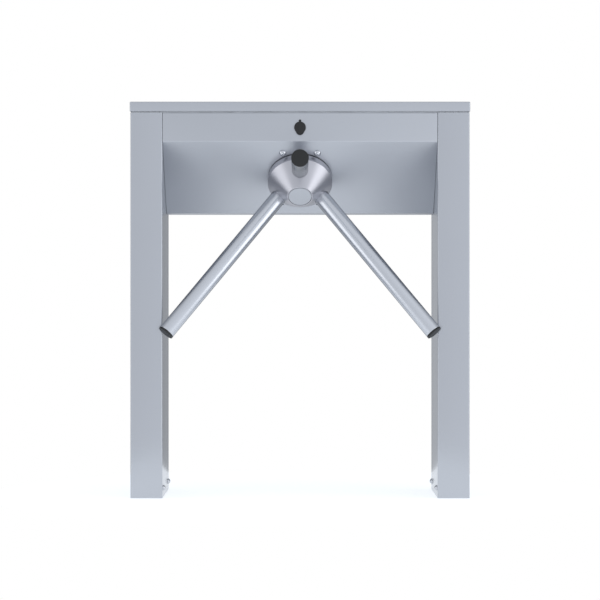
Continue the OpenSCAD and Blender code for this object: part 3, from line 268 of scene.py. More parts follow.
def stack(rings, first_cap=True, last_cap=True, closed=False):
    """Vertices and faces of equal rings of points, joined in order."""
    size = len(rings[0])
    vertices = [p for ring in rings for p in ring]
    faces = []
    for r in range(len(rings) if closed else len(rings) - 1):
        one, two = r * size, (r + 1) % len(rings) * size
        faces += [(one + k, one + (k + 1) % size, two + (k + 1) % size, two + k) for k in range(size)]
    if not closed:
        faces += [tuple(range(size))] * first_cap
        faces += [tuple(range((len(rings) - 1) * size, len(rings) * size))] * last_cap
    return vertices, faces


def lathed(name, outline, steps=96, sharp=30):
    """A closed outline of (radius, z) points turned round the z axis."""
    vertices, faces, rings = [], [], []
    for radius, z in outline:
        if radius < ON_AXIS:
            rings.append([len(vertices)] * steps)
            vertices.append((0, 0, z))
        else:
            rings.append(list(range(len(vertices), len(vertices) + steps)))
            vertices += [(x, y, z) for x, y in arc((0, 0), radius, 0, 360 - 360 / steps, steps - 1)]
    for one, two in zip(rings, rings[1:] + rings[:1]):
        if one[0] == one[1] and two[0] == two[1]:
            continue
        faces += [(one[k], one[(k + 1) % steps], two[(k + 1) % steps], two[k]) for k in range(steps)]
    return make_piece(name, vertices, faces, sharp)


def rectangle_ring(middle_x, width, depth, radius, z, steps=6):
    """A rectangle with round corners, centred front to back, as a ring of points at height z."""
    points = []
    for corner, (sx, sy) in enumerate([(1, 1), (-1, 1), (-1, -1), (1, -1)]):
        centre = (middle_x + sx * (width / 2 - radius), sy * (depth / 2 - radius))
        points += [(x, y, z) for x, y in arc(centre, radius, corner * 90, corner * 90 + 90, steps)]
    return points


def folded_box(name, middle_x, width, depth, outline, bend, closed):
    """Rings of a folded box; its outline is (inset, z) points from the outside in."""
    rings = [
        rectangle_ring(middle_x, width - inset * 2, depth - inset * 2, max(bend - inset, bend / 10), z)
        for inset, z in outline
    ]
    return make_piece(name, *stack(rings, closed=closed))


def folded_strip(name, x0, x1, outline):
    """A folded sheet whose section is (y, z) points, from x0 to x1."""
    return make_piece(name, *stack([[(x, y, z) for y, z in outline] for x in (x0, x1)]))


def placed(piece, matrix):
    """Moves a piece within its mesh, so that its object stays at the origin."""
    piece.data.transform(matrix)
    piece.data.update()
    return piece


def finished(piece):
    """Applies a piece's modifiers, so that it is a plain mesh."""
    graph = bpy.context.evaluated_depsgraph_get()
    made = bpy.data.meshes.new_from_object(piece.evaluated_get(graph), depsgraph=graph)
    piece.modifiers.clear()
    piece.data = made
    return piece


def bevelled(piece, width, angle=40):
    """Rounds the edges over this angle."""
    bevel = piece.modifiers.new("Edge", "BEVEL")
    bevel.width = width
    bevel.segments = 2
    bevel.limit_method = "ANGLE"
    bevel.angle_limit = math.radians(angle)
    bevel.harden_normals = False
    finished(piece)
    smooth(piece.data)
    return piece


def drilled(piece, holes):
    """Cuts round holes, each (frame, radius, start, end) along the frame's z axis."""
    cutter = bpy.data.meshes.new("drill")
    bm = bmesh.new()
    for matrix, radius, start, end in holes:
        turn = matrix @ Matrix.Translation((0, 0, (start + end) / 2))
        bmesh.ops.create_cone(
            bm, cap_ends=True, segments=64, radius1=radius, radius2=radius, depth=end - start, matrix=turn)
    bm.to_mesh(cutter)
    bm.free()
    drill = linked("drill", cutter)
    cut = piece.modifiers.new("Holes", "BOOLEAN")
    cut.operation = "DIFFERENCE"
    cut.solver = "EXACT"
    cut.object = drill
    finished(piece)
    bpy.data.objects.remove(drill)
    bpy.data.meshes.remove(cutter)
    smooth(piece.data)
    return piece


def softened(node, width):
    """A copy of a CAD node with its edges broken, which replaces the node."""
    mesh = NODES[node].data.copy()
    mesh.name = node + "_edged"
    bm = bmesh.new()
    bm.from_mesh(mesh)
    bmesh.ops.remove_doubles(bm, verts=bm.verts, dist=CAD_SAME_POINT)
    bmesh.ops.dissolve_limit(bm, angle_limit=math.radians(1), verts=bm.verts, edges=bm.edges)
    bm.to_mesh(mesh)
    bm.free()
    mesh.materials.clear()
    return settled(bevelled(linked(node + "_edged", mesh), width), BODY_OF[node], node)


def stands_for(piece, *nodes):
    """Hides the CAD nodes, so that a piece shows in their place."""
    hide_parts(*nodes)


def settled(piece, body, *nodes):
    """Puts a finished piece on its body, in the place of the CAD nodes."""
    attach(piece, body)
    stands_for(piece, *nodes)
    return piece


def tied(piece, moving, moving_end, fixed_end, node):
    """Puts a spring in the place of its CAD node, with its place baked into its mesh."""
    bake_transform(piece)
    stands_for(piece, node)


def painted(piece, material):
    """Gives a piece one material all over."""
    piece.data.materials.clear()
    piece.data.materials.append(material)
    return piece


# Geometry Nodes trees

def add(tree, kind, inputs=None, **settings):
    """Adds a node with its settings, and its inputs as values or as links from sockets."""
    node = tree.nodes.new(kind)
    for name, value in settings.items():
        setattr(node, name, value)
    for name, value in (inputs or {}).items():
        if isinstance(value, bpy.types.NodeSocket):
            tree.links.new(value, node.inputs[name])
        else:
            node.inputs[name].default_value = value
    return node


def new_tree(name, inputs):
    """A geometry tree with Geometry in and out, and inputs of (name, socket type)."""
    tree = bpy.data.node_groups.new(name, "GeometryNodeTree")
    tree.interface.new_socket("Geometry", in_out="INPUT", socket_type="NodeSocketGeometry")
    for label, kind in inputs:
        tree.interface.new_socket(label, in_out="INPUT", socket_type=kind)
    tree.interface.new_socket("Geometry", in_out="OUTPUT", socket_type="NodeSocketGeometry")
    return tree, tree.nodes.new("NodeGroupInput"), tree.nodes.new("NodeGroupOutput")


def close_tree(tree, given, made, instances):
    """Ends a tree: real meshes instead of instances, with the finish set."""
    real = add(tree, "GeometryNodeRealizeInstances", {"Geometry": instances.outputs["Instances"]})
    finish = add(tree, "GeometryNodeSetMaterial", {
        "Geometry": real.outputs["Geometry"], "Material": given.outputs["Finish"]})
    tree.links.new(finish.outputs["Geometry"], made.inputs["Geometry"])
    return tree


def grown(name, tree, values, vertices=((0, 0, 0),), facing=None):
    """The plain mesh that a tree makes from some points, with its inputs set by identifier."""
    mesh = bpy.data.meshes.new(name)
    mesh.from_pydata([tuple(v) for v in vertices], [], [])
    if facing is not None:
        towards = mesh.attributes.new("facing", "FLOAT_VECTOR", "POINT")
        for item, direction in zip(towards.data, facing):
            item.vector = direction
    piece = linked(name, mesh)
    modifier = piece.modifiers.new(name, "NODES")
    modifier.node_group = tree
    for item in tree.interface.items_tree:
        if item.item_type == "SOCKET" and item.in_out == "INPUT" and item.name in values:
            modifier[item.identifier] = values[item.name]
    finished(piece)
    smooth(piece.data)
    return piece


def fastener_tree():
    """One head on each point, turned to face along the point's own direction."""
    tree, given, made = new_tree("Fastener Set", [
        ("Head", "NodeSocketObject"), ("Scale", "NodeSocketFloat"), ("Finish", "NodeSocketMaterial")])
    head = add(tree, "GeometryNodeObjectInfo", {"Object": given.outputs["Head"]})
    facing = add(tree, "GeometryNodeInputNamedAttribute", {"Name": "facing"}, data_type="FLOAT_VECTOR")
    turn = add(tree, "FunctionNodeAlignRotationToVector", {"Vector": facing.outputs["Attribute"]}, axis="Z")
    heads = add(tree, "GeometryNodeInstanceOnPoints", {
        "Points": given.outputs["Geometry"], "Instance": head.outputs["Geometry"],
        "Rotation": turn.outputs["Rotation"], "Scale": given.outputs["Scale"]})
    return close_tree(tree, given, made, heads)


def spring_tree():
    """Wire wound round each point's z axis."""
    tree, given, made = new_tree("Wound Spring", [
        ("Turns", "NodeSocketFloat"), ("Coil Radius", "NodeSocketFloat"), ("Length", "NodeSocketFloat"),
        ("Wire Radius", "NodeSocketFloat"), ("Finish", "NodeSocketMaterial")])
    spiral = add(tree, "GeometryNodeCurveSpiral", {
        "Resolution": 24, "Rotations": given.outputs["Turns"], "Start Radius": given.outputs["Coil Radius"],
        "End Radius": given.outputs["Coil Radius"], "Height": given.outputs["Length"]})
    section = add(tree, "GeometryNodeCurvePrimitiveCircle", {
        "Resolution": 10, "Radius": given.outputs["Wire Radius"]}, mode="RADIUS")
    wire = add(tree, "GeometryNodeCurveToMesh", {
        "Curve": spiral.outputs["Curve"], "Profile Curve": section.outputs["Curve"], "Fill Caps": True})
    wound = add(tree, "GeometryNodeInstanceOnPoints", {
        "Points": given.outputs["Geometry"], "Instance": wire.outputs["Mesh"]})
    return close_tree(tree, given, made, wound)


# Materials

def new_material(name):
    """A material with an empty node tree."""
    material = bpy.data.materials.new(name)
    material.use_nodes = True
    material.node_tree.nodes.clear()
    return material, material.node_tree


def surface(tree, shader):
    """Ends a material's tree."""
    add(tree, "ShaderNodeOutputMaterial", {"Surface": shader.outputs["BSDF"]})


def object_pattern(tree, scale, turn=None):
    """Object coordinates, scaled from the size of one cell in metres along each axis, after a turn."""
    places = add(tree, "ShaderNodeTexCoord")
    vector = places.outputs["Object"]
    if turn is not None:
        back = turn.inverted()
        shifted = add(tree, "ShaderNodeMapping", {
            "Vector": vector, "Location": back.to_translation(), "Rotation": back.to_euler()},
            vector_type="POINT")
        vector = shifted.outputs["Vector"]
    cells = add(tree, "ShaderNodeMapping", {
        "Vector": vector, "Scale": [1 / s for s in scale]}, vector_type="POINT")
    return cells.outputs["Vector"]


def tinted(tree, factor, dark, light):
    """A colour between two others by a factor."""
    ramp = add(tree, "ShaderNodeValToRGB", {"Fac": factor})
    ramp.color_ramp.elements[0].color = dark
    ramp.color_ramp.elements[1].color = light
    ramp.color_ramp.elements[0].position = 0.25
    ramp.color_ramp.elements[1].position = 0.75
    return ramp.outputs["Color"]


def shaded(rgb, share):
    """A colour darkened or lightened to this share of its light."""
    return [c * share for c in rgb[:3]] + [1.0]


def metal(name, rgb, roughness, grain, grain_depth, blotch=0.09, spread=0.04, turn=None, tone=0.03,
          strength=0.35, edge_tint=1.0):
    """A bare metal: fine grain in cells of the given size, and broad soft changes of tone and gloss.

    Real grinding and drawing marks are 0.05 to 0.2 mm wide. They are drawn 0.6 to 1.5 mm wide, because
    finer ones don't show at this size. The edge tint is what a metal reflects at grazing angles.
    """
    material, tree = new_material(name)
    fine = add(tree, "ShaderNodeTexNoise", {
        "Vector": object_pattern(tree, grain, turn), "Scale": 1.0, "Detail": 3.0, "Roughness": 0.6})
    broad = add(tree, "ShaderNodeTexNoise", {
        "Vector": object_pattern(tree, (blotch,) * 3), "Scale": 1.0, "Detail": 2.0, "Roughness": 0.5})
    bump = add(tree, "ShaderNodeBump", {
        "Height": fine.outputs["Fac"], "Strength": strength, "Distance": grain_depth})
    # The product of two noises round a half lies round a quarter, so it is doubled
    both = add(tree, "ShaderNodeMath", {0: fine.outputs["Fac"], 1: broad.outputs["Fac"]}, operation="MULTIPLY")
    twice = add(tree, "ShaderNodeMath", {0: both.outputs[0], 1: 2.0}, operation="MULTIPLY")
    gloss = add(tree, "ShaderNodeMapRange", {
        "Value": twice.outputs[0], "To Min": roughness - spread, "To Max": roughness + spread})
    shader = add(tree, "ShaderNodeBsdfPrincipled", {
        "Base Color": tinted(tree, broad.outputs["Fac"], shaded(rgb, 1 - tone), shaded(rgb, 1 + tone)),
        "Metallic": 1.0,
        "Specular Tint": [edge_tint] * 3 + [1.0],
        "Roughness": gloss.outputs["Result"],
        "Normal": bump.outputs["Normal"]})
    surface(tree, shader)
    return material


def moulded(name, rgb, roughness, grain, depth, ior=1.5, tone=0.12, spread=0.05, glow=None):
    """A moulded or lacquered surface with an even fine texture, and clouds of tone 40 times as large."""
    material, tree = new_material(name)
    fine = add(tree, "ShaderNodeTexNoise", {
        "Vector": object_pattern(tree, (grain,) * 3), "Scale": 1.0, "Detail": 4.0, "Roughness": 0.55})
    broad = add(tree, "ShaderNodeTexNoise", {
        "Vector": object_pattern(tree, (grain * 40,) * 3), "Scale": 1.0, "Detail": 2.0})
    bump = add(tree, "ShaderNodeBump", {"Height": fine.outputs["Fac"], "Strength": 0.4, "Distance": depth})
    gloss = add(tree, "ShaderNodeMapRange", {
        "Value": broad.outputs["Fac"], "To Min": roughness - spread, "To Max": roughness + spread})
    shader = add(tree, "ShaderNodeBsdfPrincipled", {
        "Base Color": tinted(tree, broad.outputs["Fac"], shaded(rgb, 1 - tone), shaded(rgb, 1 + tone)),
        "Roughness": gloss.outputs["Result"],
        "IOR": ior,
        "Normal": bump.outputs["Normal"],
        **(glow or {})})
    surface(tree, shader)
    return material


def lit_floor(rgb):
    """Pale matt acrylic sweep, lit a little from below, so that shadows on it stay soft."""
    return moulded("Pale_Studio_Floor", rgb, 0.85, 0.004, 0.00002, ior=1.4, tone=0.01, glow={
        "Emission Color": (0.94, 0.97, 1.0, 1.0), "Emission Strength": 0.75})


MADE = {}


def finish(name):
    """A finish by name, made once."""
    if name not in MADE:
        MADE[name] = FINISHES[name]()
    return MADE[name]


# Cells of the ground grain along x, y and z in metres, and the roughness, by the direction of the grain
CASING_GRAINS = {"X": ((0.06, 0.0008, 0.0008), 0.37), "Z": ((0.0008, 0.0008, 0.06), 0.22)}


def casing_steel(axis):
    """Stainless sheet, ground with a belt along the fold: an even satin face with soft reflections.

    The slope is rougher than the legs, so that the arms show in it only as a soft shade.
    """
    grain, roughness = CASING_GRAINS[axis]
    rgb = list(sizes("casing").steel) + [1.0]
    return metal(
        "Satin_Stainless_Sheet_" + axis, rgb, roughness, grain, 0.00001,
        blotch=0.16, spread=0.008, tone=0.006, strength=0.04)


def polished_tube(index):
    """Stainless tube, polished along its length: smooth, with clear streaks, and darker at grazing angles."""
    rgb = list(sizes("rotor").tube_steel) + [1.0]
    return metal(
        f"Polished_Stainless_Tube_{index}", rgb, 0.27, (0.0006, 0.0006, 0.05), 0.00001,
        blotch=0.05, spread=0.006, turn=arm_frame(index), tone=0.006, strength=0.005, edge_tint=0.5)


FINISHES = {
    "satin_x": lambda: casing_steel("X"),
    "satin_z": lambda: casing_steel("Z"),
    "tube_0": lambda: polished_tube(0),
    "tube_1": lambda: polished_tube(1),
    "tube_2": lambda: polished_tube(2),
    # Cast stainless hub, turned and polished: a soft mirror with broad streaks down its cone
    "hub": lambda: metal(
        "Polished_Stainless_Hub", list(sizes("rotor").hub_steel) + [1.0], 0.33, (0.0007,) * 3, 0.00001,
        blotch=0.04, spread=0.03, turn=rotor_frame(), tone=0.015),
    # Ground disc, as satin as the casing and a little darker: the casing's colour at 93 percent, painted shade
    # that tones down the bright floor it reflects
    "disc": lambda: metal(
        "Satin_Stainless_Disc", shaded(sizes("casing").steel, 0.93), 0.33, (0.03, 0.0008, 0.0008), 0.00001,
        blotch=0.05, spread=0.03, turn=rotor_frame(), tone=0.012),
    # Stainless button heads, cold formed and tumbled: small sharp highlights
    "bolt": lambda: metal(
        "Tumbled_Stainless_Bolt", hex_colour("#C9CBD0"), 0.22, (0.0009,) * 3, 0.00002, blotch=0.01),
    # Bright zinc plate on steel: bluish, slightly cloudy
    "zinc": lambda: metal(
        "Bright_Zinc_Plate", hex_colour("#B9BDC1"), 0.34, (0.0015,) * 3, 0.00003,
        blotch=0.014, spread=0.09, tone=0.05),
    # Grey powder coat on plate: an even orange peel of about 1 mm
    "coated": lambda: moulded(
        "Grey_Powder_Coat", hex_colour("#8A8E92"), 0.5, 0.0012, 0.00006, tone=0.04),
    # Ground and oiled steel of gears and pawls
    "ground": lambda: metal(
        "Ground_Tool_Steel", hex_colour("#A9A69F"), 0.28, (0.0006, 0.012, 0.0006), 0.00002,
        blotch=0.02, spread=0.06, tone=0.05),
    # Lapped steel of the bearings: the brightest mirror here
    "bearing": lambda: metal(
        "Lapped_Bearing_Steel", hex_colour("#C4C4C2"), 0.12, (0.0008,) * 3, 0.000005, blotch=0.02),
    # Spring wire with its drawn surface
    "wire": lambda: metal(
        "Drawn_Spring_Wire", hex_colour("#B4B4B0"), 0.3, (0.0008,) * 3, 0.00002, blotch=0.006),
    # Black oxide on socket screws
    "oxide": lambda: metal(
        "Black_Oxide_Steel", hex_colour("#3A3B3D"), 0.38, (0.001,) * 3, 0.00003, blotch=0.008),
    # Black moulded polypropylene: a fine spark-eroded texture, with a soft gloss
    "black": lambda: moulded(
        "Black_Moulded_Polypropylene", list(sizes("rotor").cap_plastic) + [1.0], 0.5, 0.0007, 0.00003,
        ior=1.49, tone=0.06),
    # Black nylon of relays, sensors and the damper
    "nylon": lambda: moulded(
        "Black_Glass_Filled_Nylon", hex_colour("#26272A"), 0.42, 0.0009, 0.00003, ior=1.53),
    # EPDM rubber: dull, with a dusty bloom
    "rubber": lambda: moulded(
        "Black_EPDM_Rubber", hex_colour("#202021"), 0.75, 0.0012, 0.00005, ior=1.52, tone=0.2),
    # Grey silicone rubber: dull and slightly cloudy
    "silicone": lambda: moulded(
        "Grey_Silicone_Rubber", hex_colour("#C4C7CB"), 0.6, 0.0012, 0.00004, ior=1.41),
    # Turned brass of the lock's plug
    "brass": lambda: metal(
        "Turned_Brass", hex_colour("#D2B978"), 0.24, (0.0006,) * 3, 0.00002, blotch=0.008),
    # Nickel plate on the lock's barrel
    "nickel": lambda: metal(
        "Satin_Nickel_Plate", hex_colour("#B9B5AC"), 0.26, (0.0008,) * 3, 0.00001, blotch=0.02),
    # Green solder mask over the copper of a circuit board
    "board": lambda: moulded(
        "Green_Solder_Mask", hex_colour("#1E5A38"), 0.3, 0.002, 0.00004, ior=1.55, tone=0.25),
    # Red taped winding in its frame
    "winding": lambda: moulded(
        "Red_Taped_Winding", hex_colour("#9A2F24"), 0.45, 0.0015, 0.00008, ior=1.5, tone=0.18),
}

NODE_FINISHES = {
    "zinc": ["leg_joint_bolts", "hinge_leaves_fixed", "hinge_leaves_lid", "hinge_pins", "lock_nut", "lock_cam",
             "lid_catch", "frame_pillars", "pawl_pins", "index_studs", "hub_bolt", "shaft_nut", "power_supply",
             "entry_plunger", "exit_plunger"],
    "coated": ["floor_brackets", "end_plates", "mechanism_front_plate", "mechanism_rear_plate",
               "bearing_housings"],
    "ground": ["shaft", "shaft_keys", "main_gear", "lock_wheel", "damper_pinion", "index_gear", "entry_pawl",
               "exit_pawl", "shaft_spacers"],
    "bearing": ["bearing_inner_rings", "bearing_outer_rings", "bearing_balls"],
    "oxide": ["arm_bolts"],
    "nylon": ["damper_body", "position_sensors", "sensor_disc", "board_components"],
    "black": ["cover_rivet"],
    "rubber": ["leg_grommets"],
    "silicone": ["lid_seal"],
    "brass": ["lock_plug"],
    "nickel": ["lock_barrel"],
    "board": ["control_board"],
    "winding": ["solenoids"],
}

# Break of the edges of the pieces that are copied from their CAD nodes, in metres
EDGE_BREAKS = {
    "hinge_leaves_fixed": 0.0003, "hinge_leaves_lid": 0.0003, "lock_nut": 0.0005, "lock_cam": 0.0003,
    "lid_catch": 0.0004, "frame_pillars": 0.0006, "hub_bolt": 0.0006, "shaft_nut": 0.0006,
    "power_supply": 0.0004, "floor_brackets": 0.0005, "end_plates": 0.0004, "mechanism_front_plate": 0.0007,
    "mechanism_rear_plate": 0.0007, "bearing_housings": 0.0006, "leg_joint_bolts": 0.0006,
    "lock_wheel": 0.0004, "entry_pawl": 0.0005, "exit_pawl": 0.0005, "board_components": 0.0006,
    "position_sensors": 0.0006, "solenoids": 0.0006, "damper_body": 0.0008, "sensor_disc": 0.0002,
    "leg_grommets": 0.0008, "lid_seal": 0.0006, "lock_barrel": 0.0004, "cover_rivet": 0.0003,
    "arm_bolts": 0.0006,
}


# Stage: the floor's rings, its drop under the feet and the point that the softboxes face, in metres
FLOOR_RADII = (0.8, 0.5, 0.25)
FLOOR_DROP = 0.0002
AIM = Vector((0, 0, 0.7))

# Name, place, size and watts of each softbox
SOFTBOXES = (
    ("Right_Softbox", (3.4, -1.4, 0.6), (2.4, 2.8), 23),
    ("Left_Softbox", (-3.4, -1.4, 0.6), (2.4, 2.8), 18),
)

# Light tent: the direction along which each part changes, from where to where, and from which level to which
TENT = {
    "front": ("Y", 0.6, -0.7, 0.42, 0.98),
    "side": ("X", -0.8, 0.8, 0.89, 1.09),
    "below": ("Z", -0.1, -0.6, 0.0, 0.35),
    "behind": ("Y", 0.2, 0.8, 0.0, 1.0),
    "left": ("X", 0.12, -0.12, 0.0, 0.17),
}


# Operators

class TURNSTILE_OT_stage(bpy.types.Operator):
    """Pale floor, soft studio light and the camera in front of the passage"""

    bl_idname = "turnstile.stage"
    bl_label = "Stage"

    def execute(self, context):
        studio = sizes("studio")
        scene = context.scene
        scene.view_settings.view_transform = "Standard"
        data = bpy.data.cameras.new("Camera")
        data.lens = studio.lens
        camera = bpy.data.objects.new("Camera", data)
        camera.location = (0, -studio.camera_distance, studio.camera_height)
        camera.rotation_euler = (math.pi / 2, 0, 0)
        scene.collection.objects.link(camera)
        scene.camera = camera
        self.floor(list(studio.floor) + [1.0])
        self.sky(scene)
        for softbox in SOFTBOXES:
            self.softbox(*softbox)
        return {"FINISHED"}

    def floor(self, rgb):
        rings = [[(x, y, 0) for x, y in arc((0, 0), radius, 0, 350, 35)] for radius in FLOOR_RADII]
        ground = make_piece("Studio_Floor", *stack(rings, first_cap=False))
        for face in ground.data.polygons:
            if face.normal.z < 0:
                face.flip()
        painted(placed(ground, Matrix.Translation((0, 0, -FLOOR_DROP))), lit_floor(rgb))

    def softbox(self, name, place, size, power):
        data = bpy.data.lights.new(name, "AREA")
        data.shape = "RECTANGLE"
        data.size, data.size_y = size
        data.energy = power
        light = bpy.data.objects.new(name, data)
        turn = (AIM - Vector(place)).to_track_quat("-Z", "Y")
        light.matrix_world = Matrix.Translation(place) @ turn.to_matrix().to_4x4()
        light.visible_camera = False
        bpy.context.scene.collection.objects.link(light)

    def sky(self, scene):
        """Light tent: bright in front of the part, dimmer behind it and lit a little from below.

        A share of light from behind on the left brightens the right leg's inner face. The camera sees white.
        """
        world = bpy.data.worlds.new("Light_Tent")
        world.use_nodes = True
        tree = world.node_tree
        tree.nodes.clear()
        direction = add(tree, "ShaderNodeTexCoord")
        parts = add(tree, "ShaderNodeSeparateXYZ", {"Vector": direction.outputs["Generated"]})
        share = {}
        for part, (axis, start, end, low, high) in TENT.items():
            share[part] = add(tree, "ShaderNodeMapRange", {
                "Value": parts.outputs[axis], "From Min": start, "From Max": end,
                "To Min": low, "To Max": high}, interpolation_type="SMOOTHSTEP").outputs["Result"]
        backlight = add(tree, "ShaderNodeMath", {
            0: share["behind"], 1: share["left"], 2: share["below"]}, operation="MULTIPLY_ADD")
        level = add(tree, "ShaderNodeMath", {
            0: share["front"], 1: share["side"], 2: backlight.outputs["Value"]}, operation="MULTIPLY_ADD")
        tent = add(tree, "ShaderNodeBackground", {
            "Color": hex_colour("#F3F7FD"), "Strength": level.outputs["Value"]})
        seen = add(tree, "ShaderNodeBackground", {"Color": (1, 1, 1, 1), "Strength": 1.0})
        path = add(tree, "ShaderNodeLightPath")
        mixed = add(tree, "ShaderNodeMixShader", {
            0: path.outputs["Is Camera Ray"], 1: tent.outputs["Background"], 2: seen.outputs["Background"]})
        add(tree, "ShaderNodeOutputWorld", {"Surface": mixed.outputs["Shader"]})
        scene.world = world


# Holes and clearances, as radii in metres
HOUSING_HOLE = 0.0353
LOCK_HOLE = 0.00955
SLOPE_BOLT_ROOM = 0.0005
SOCKET_ROOM = 0.0003
ARM_BOLT_ROOM = 0.0002
PLUG_BOLT_ROOM = 0.00005
GROMMET_FLANGE = 0.003


class TURNSTILE_OT_legs(bpy.types.Operator):
    """Legs: square tubes of folded sheet with lips round the top"""

    bl_idname = "turnstile.legs"
    bl_label = "Legs"

    def execute(self, context):
        c = sizes("casing")
        top, t, r = LEG_HIGH.z, c.sheet, c.bend
        outline = filleted([
            (0, 0, c.edge), (0, top, c.edge * 2), (c.lip, top, c.edge), (c.lip, top - t, c.edge),
            (t, top - t, r - t), (t, 0, c.edge)])
        cable_low, cable_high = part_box("leg_grommets")
        middle_y, middle_z = (cable_low.y + cable_high.y) / 2, (cable_low.z + cable_high.z) / 2
        hole_r = (cable_high.y - cable_low.y) / 2 - GROMMET_FLANGE
        for side, node in ((-1, "leg_left"), (1, "leg_right")):
            middle = side * (LEG_LOW.x + LEG_HIGH.x) / 2
            leg = folded_box(node + "_sheet", middle, c.leg_width, c.depth, outline, c.bend, closed=True)
            inner = Matrix.Translation((side * LEG_LOW.x, 0, 0)) @ Matrix.Rotation(side * math.pi / 2, 4, "Y")
            drilled(leg, [(Matrix.Translation((0, middle_y, middle_z)) @ inner, hole_r, -t, t * 2)])
            settled(painted(leg, finish("satin_z")), "housing", node)
        return {"FINISHED"}


# Edges of a folded strip sharper than this are cut edges, in degrees
CUT_EDGES = 60


def slope_bolt_places():
    """Places of the slope's bolts in the rotor's frame."""
    f = sizes("fasteners")
    return [(sx * f.slope_bolt_x, sy * f.slope_bolt_y, 0) for sx in (-1, 1) for sy in (-1, 1)]


class TURNSTILE_OT_panels(bpy.types.Operator):
    """Front and back panels of the cabinet, each folded from one sheet"""

    bl_idname = "turnstile.panels"
    bl_label = "Panels"

    def execute(self, context):
        c, hardware = sizes("casing"), sizes("fasteners")
        front, back, top, t, r = LEG_LOW.y, LEG_HIGH.y, LEG_HIGH.z, c.sheet, c.bend
        crease = top - c.front_height
        under = crease - c.slope_drop
        run = front + c.slope_drop
        # A sheet's inner corner at a 45 degree fold lies this far from its outer one
        slant = t * math.tan(math.pi / 8)
        inner = max(r - t, c.edge)
        outline = filleted([
            (front + c.lip, top, 0), (front, top, r), (front, crease, r), (run, under, r), (back - t, under, r),
            (back - t, under + c.rear_flange, 0), (back - t * 2, under + c.rear_flange, 0),
            (back - t * 2, under + t, inner), (run + slant, under + t, inner),
            (front + t, crease + slant, inner), (front + t, top - t, inner), (front + c.lip, top - t, 0)])
        panel = folded_strip("front_panel_sheet", PANEL_LOW.x, PANEL_HIGH.x, outline)
        bevelled(panel, c.edge, CUT_EDGES)
        axis = rotor_frame()
        lock_low, lock_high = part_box("lock_nut")
        lock_z = (lock_low.z + lock_high.z) / 2
        lock = Matrix.Translation((0, front, lock_z)) @ Matrix.Rotation(math.pi / 2, 4, "X")
        bolt_r = hardware.slope_bolt / 2 + SLOPE_BOLT_ROOM
        holes = [(axis, HOUSING_HOLE)]
        holes += [(axis @ Matrix.Translation(place), bolt_r) for place in slope_bolt_places()]
        holes += [(lock, LOCK_HOLE)]
        drilled(panel, [(place, radius, -t * 2, t) for place, radius in holes])
        settled(painted(panel, finish("satin_x")), "housing", "front_panel")
        rear = filleted([
            (back, under, 0), (back, top, r), (back - c.lip, top, 0), (back - c.lip, top - t, 0),
            (back - t, top - t, inner), (back - t, under, 0)])
        sheet = folded_strip("back_panel_sheet", PANEL_LOW.x, PANEL_HIGH.x, rear)
        settled(painted(bevelled(sheet, c.edge, CUT_EDGES), finish("satin_x")), "housing", "back_panel")
        return {"FINISHED"}


class TURNSTILE_OT_lid(bpy.types.Operator):
    """Lid: pressed sheet with a skirt and a return lip"""

    bl_idname = "turnstile.lid"
    bl_label = "Lid"

    def execute(self, context):
        c = sizes("casing")
        low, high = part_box("lid")
        t, r, foot, top = c.sheet, c.bend, low.z, high.z
        lip = c.lip + (high.x - LEG_HIGH.x)
        inner = max(r - t, c.edge)
        outline = filleted([
            (c.leg_width, top, 0), (0, top, r), (0, foot, c.edge * 2), (lip, foot, c.edge),
            (lip, foot + t, c.edge), (t, foot + t, inner), (t, top - t, inner), (c.leg_width, top - t, 0)],
            closed=False)
        middle, width, depth = (low.x + high.x) / 2, high.x - low.x, high.y - low.y
        lid = folded_box("lid_sheet", middle, width, depth, outline, r, closed=False)
        settled(painted(lid, finish("satin_x")), "lid", "lid")
        return {"FINISHED"}


class TURNSTILE_OT_hub(bpy.types.Operator):
    """Hub with rounded edges, a socket for each arm and the disc in its nose"""

    bl_idname = "turnstile.hub"
    bl_label = "Hub"

    def execute(self, context):
        h = sizes("rotor")
        outer = h.hub_diameter / 2
        nose = h.hub_gap + h.hub_rim + h.hub_cone
        nose_r = outer - h.hub_cone
        recess = h.disc_diameter / 2 + h.groove
        floor = nose - h.disc_thickness
        bore_r, well_r, well_z = h.bore / 2, h.well / 2, h.hub_gap + h.well_floor
        fine, edge, turned = 0.0003, 0.0005, 0.0012
        outline = filleted([
            (bore_r, h.hub_gap, 0), (outer, h.hub_gap, edge), (outer, h.hub_gap + h.hub_rim, turned),
            (nose_r, nose, turned), (recess, nose, fine), (recess, floor, 0), (well_r, floor, 0),
            (well_r, well_z, 0), (bore_r, well_z, 0)], steps=4)
        hub = placed(lathed("hub_turned", outline, 160), rotor_frame())
        overrun = 0.002
        seat = h.arm_start - h.arm_seat
        # Socket, bolt well and bolt hole of each arm
        for arm in map(arm_frame, range(3)):
            drilled(hub, [(arm, h.arm_diameter / 2 + SOCKET_ROOM, h.arm_start, h.hub_diameter)])
            drilled(hub, [(arm, h.arm_bolt_well / 2, -h.arm_bolt_well / 2, seat)])
            drilled(hub, [(arm, h.arm_bolt / 2 + ARM_BOLT_ROOM, seat - overrun, h.arm_start + overrun)])
        settled(painted(hub, finish("hub")), "rotor", "hub")
        disc_r = h.disc_diameter / 2
        disc = lathed("hub_nose_disc_turned", filleted([
            (0, floor, 0), (disc_r, floor, 0), (disc_r, nose, edge), (0, nose, 0)], steps=3, closed=False), 128)
        settled(painted(placed(disc, rotor_frame()), finish("disc")), "rotor", "hub_nose_disc")
        return {"FINISHED"}


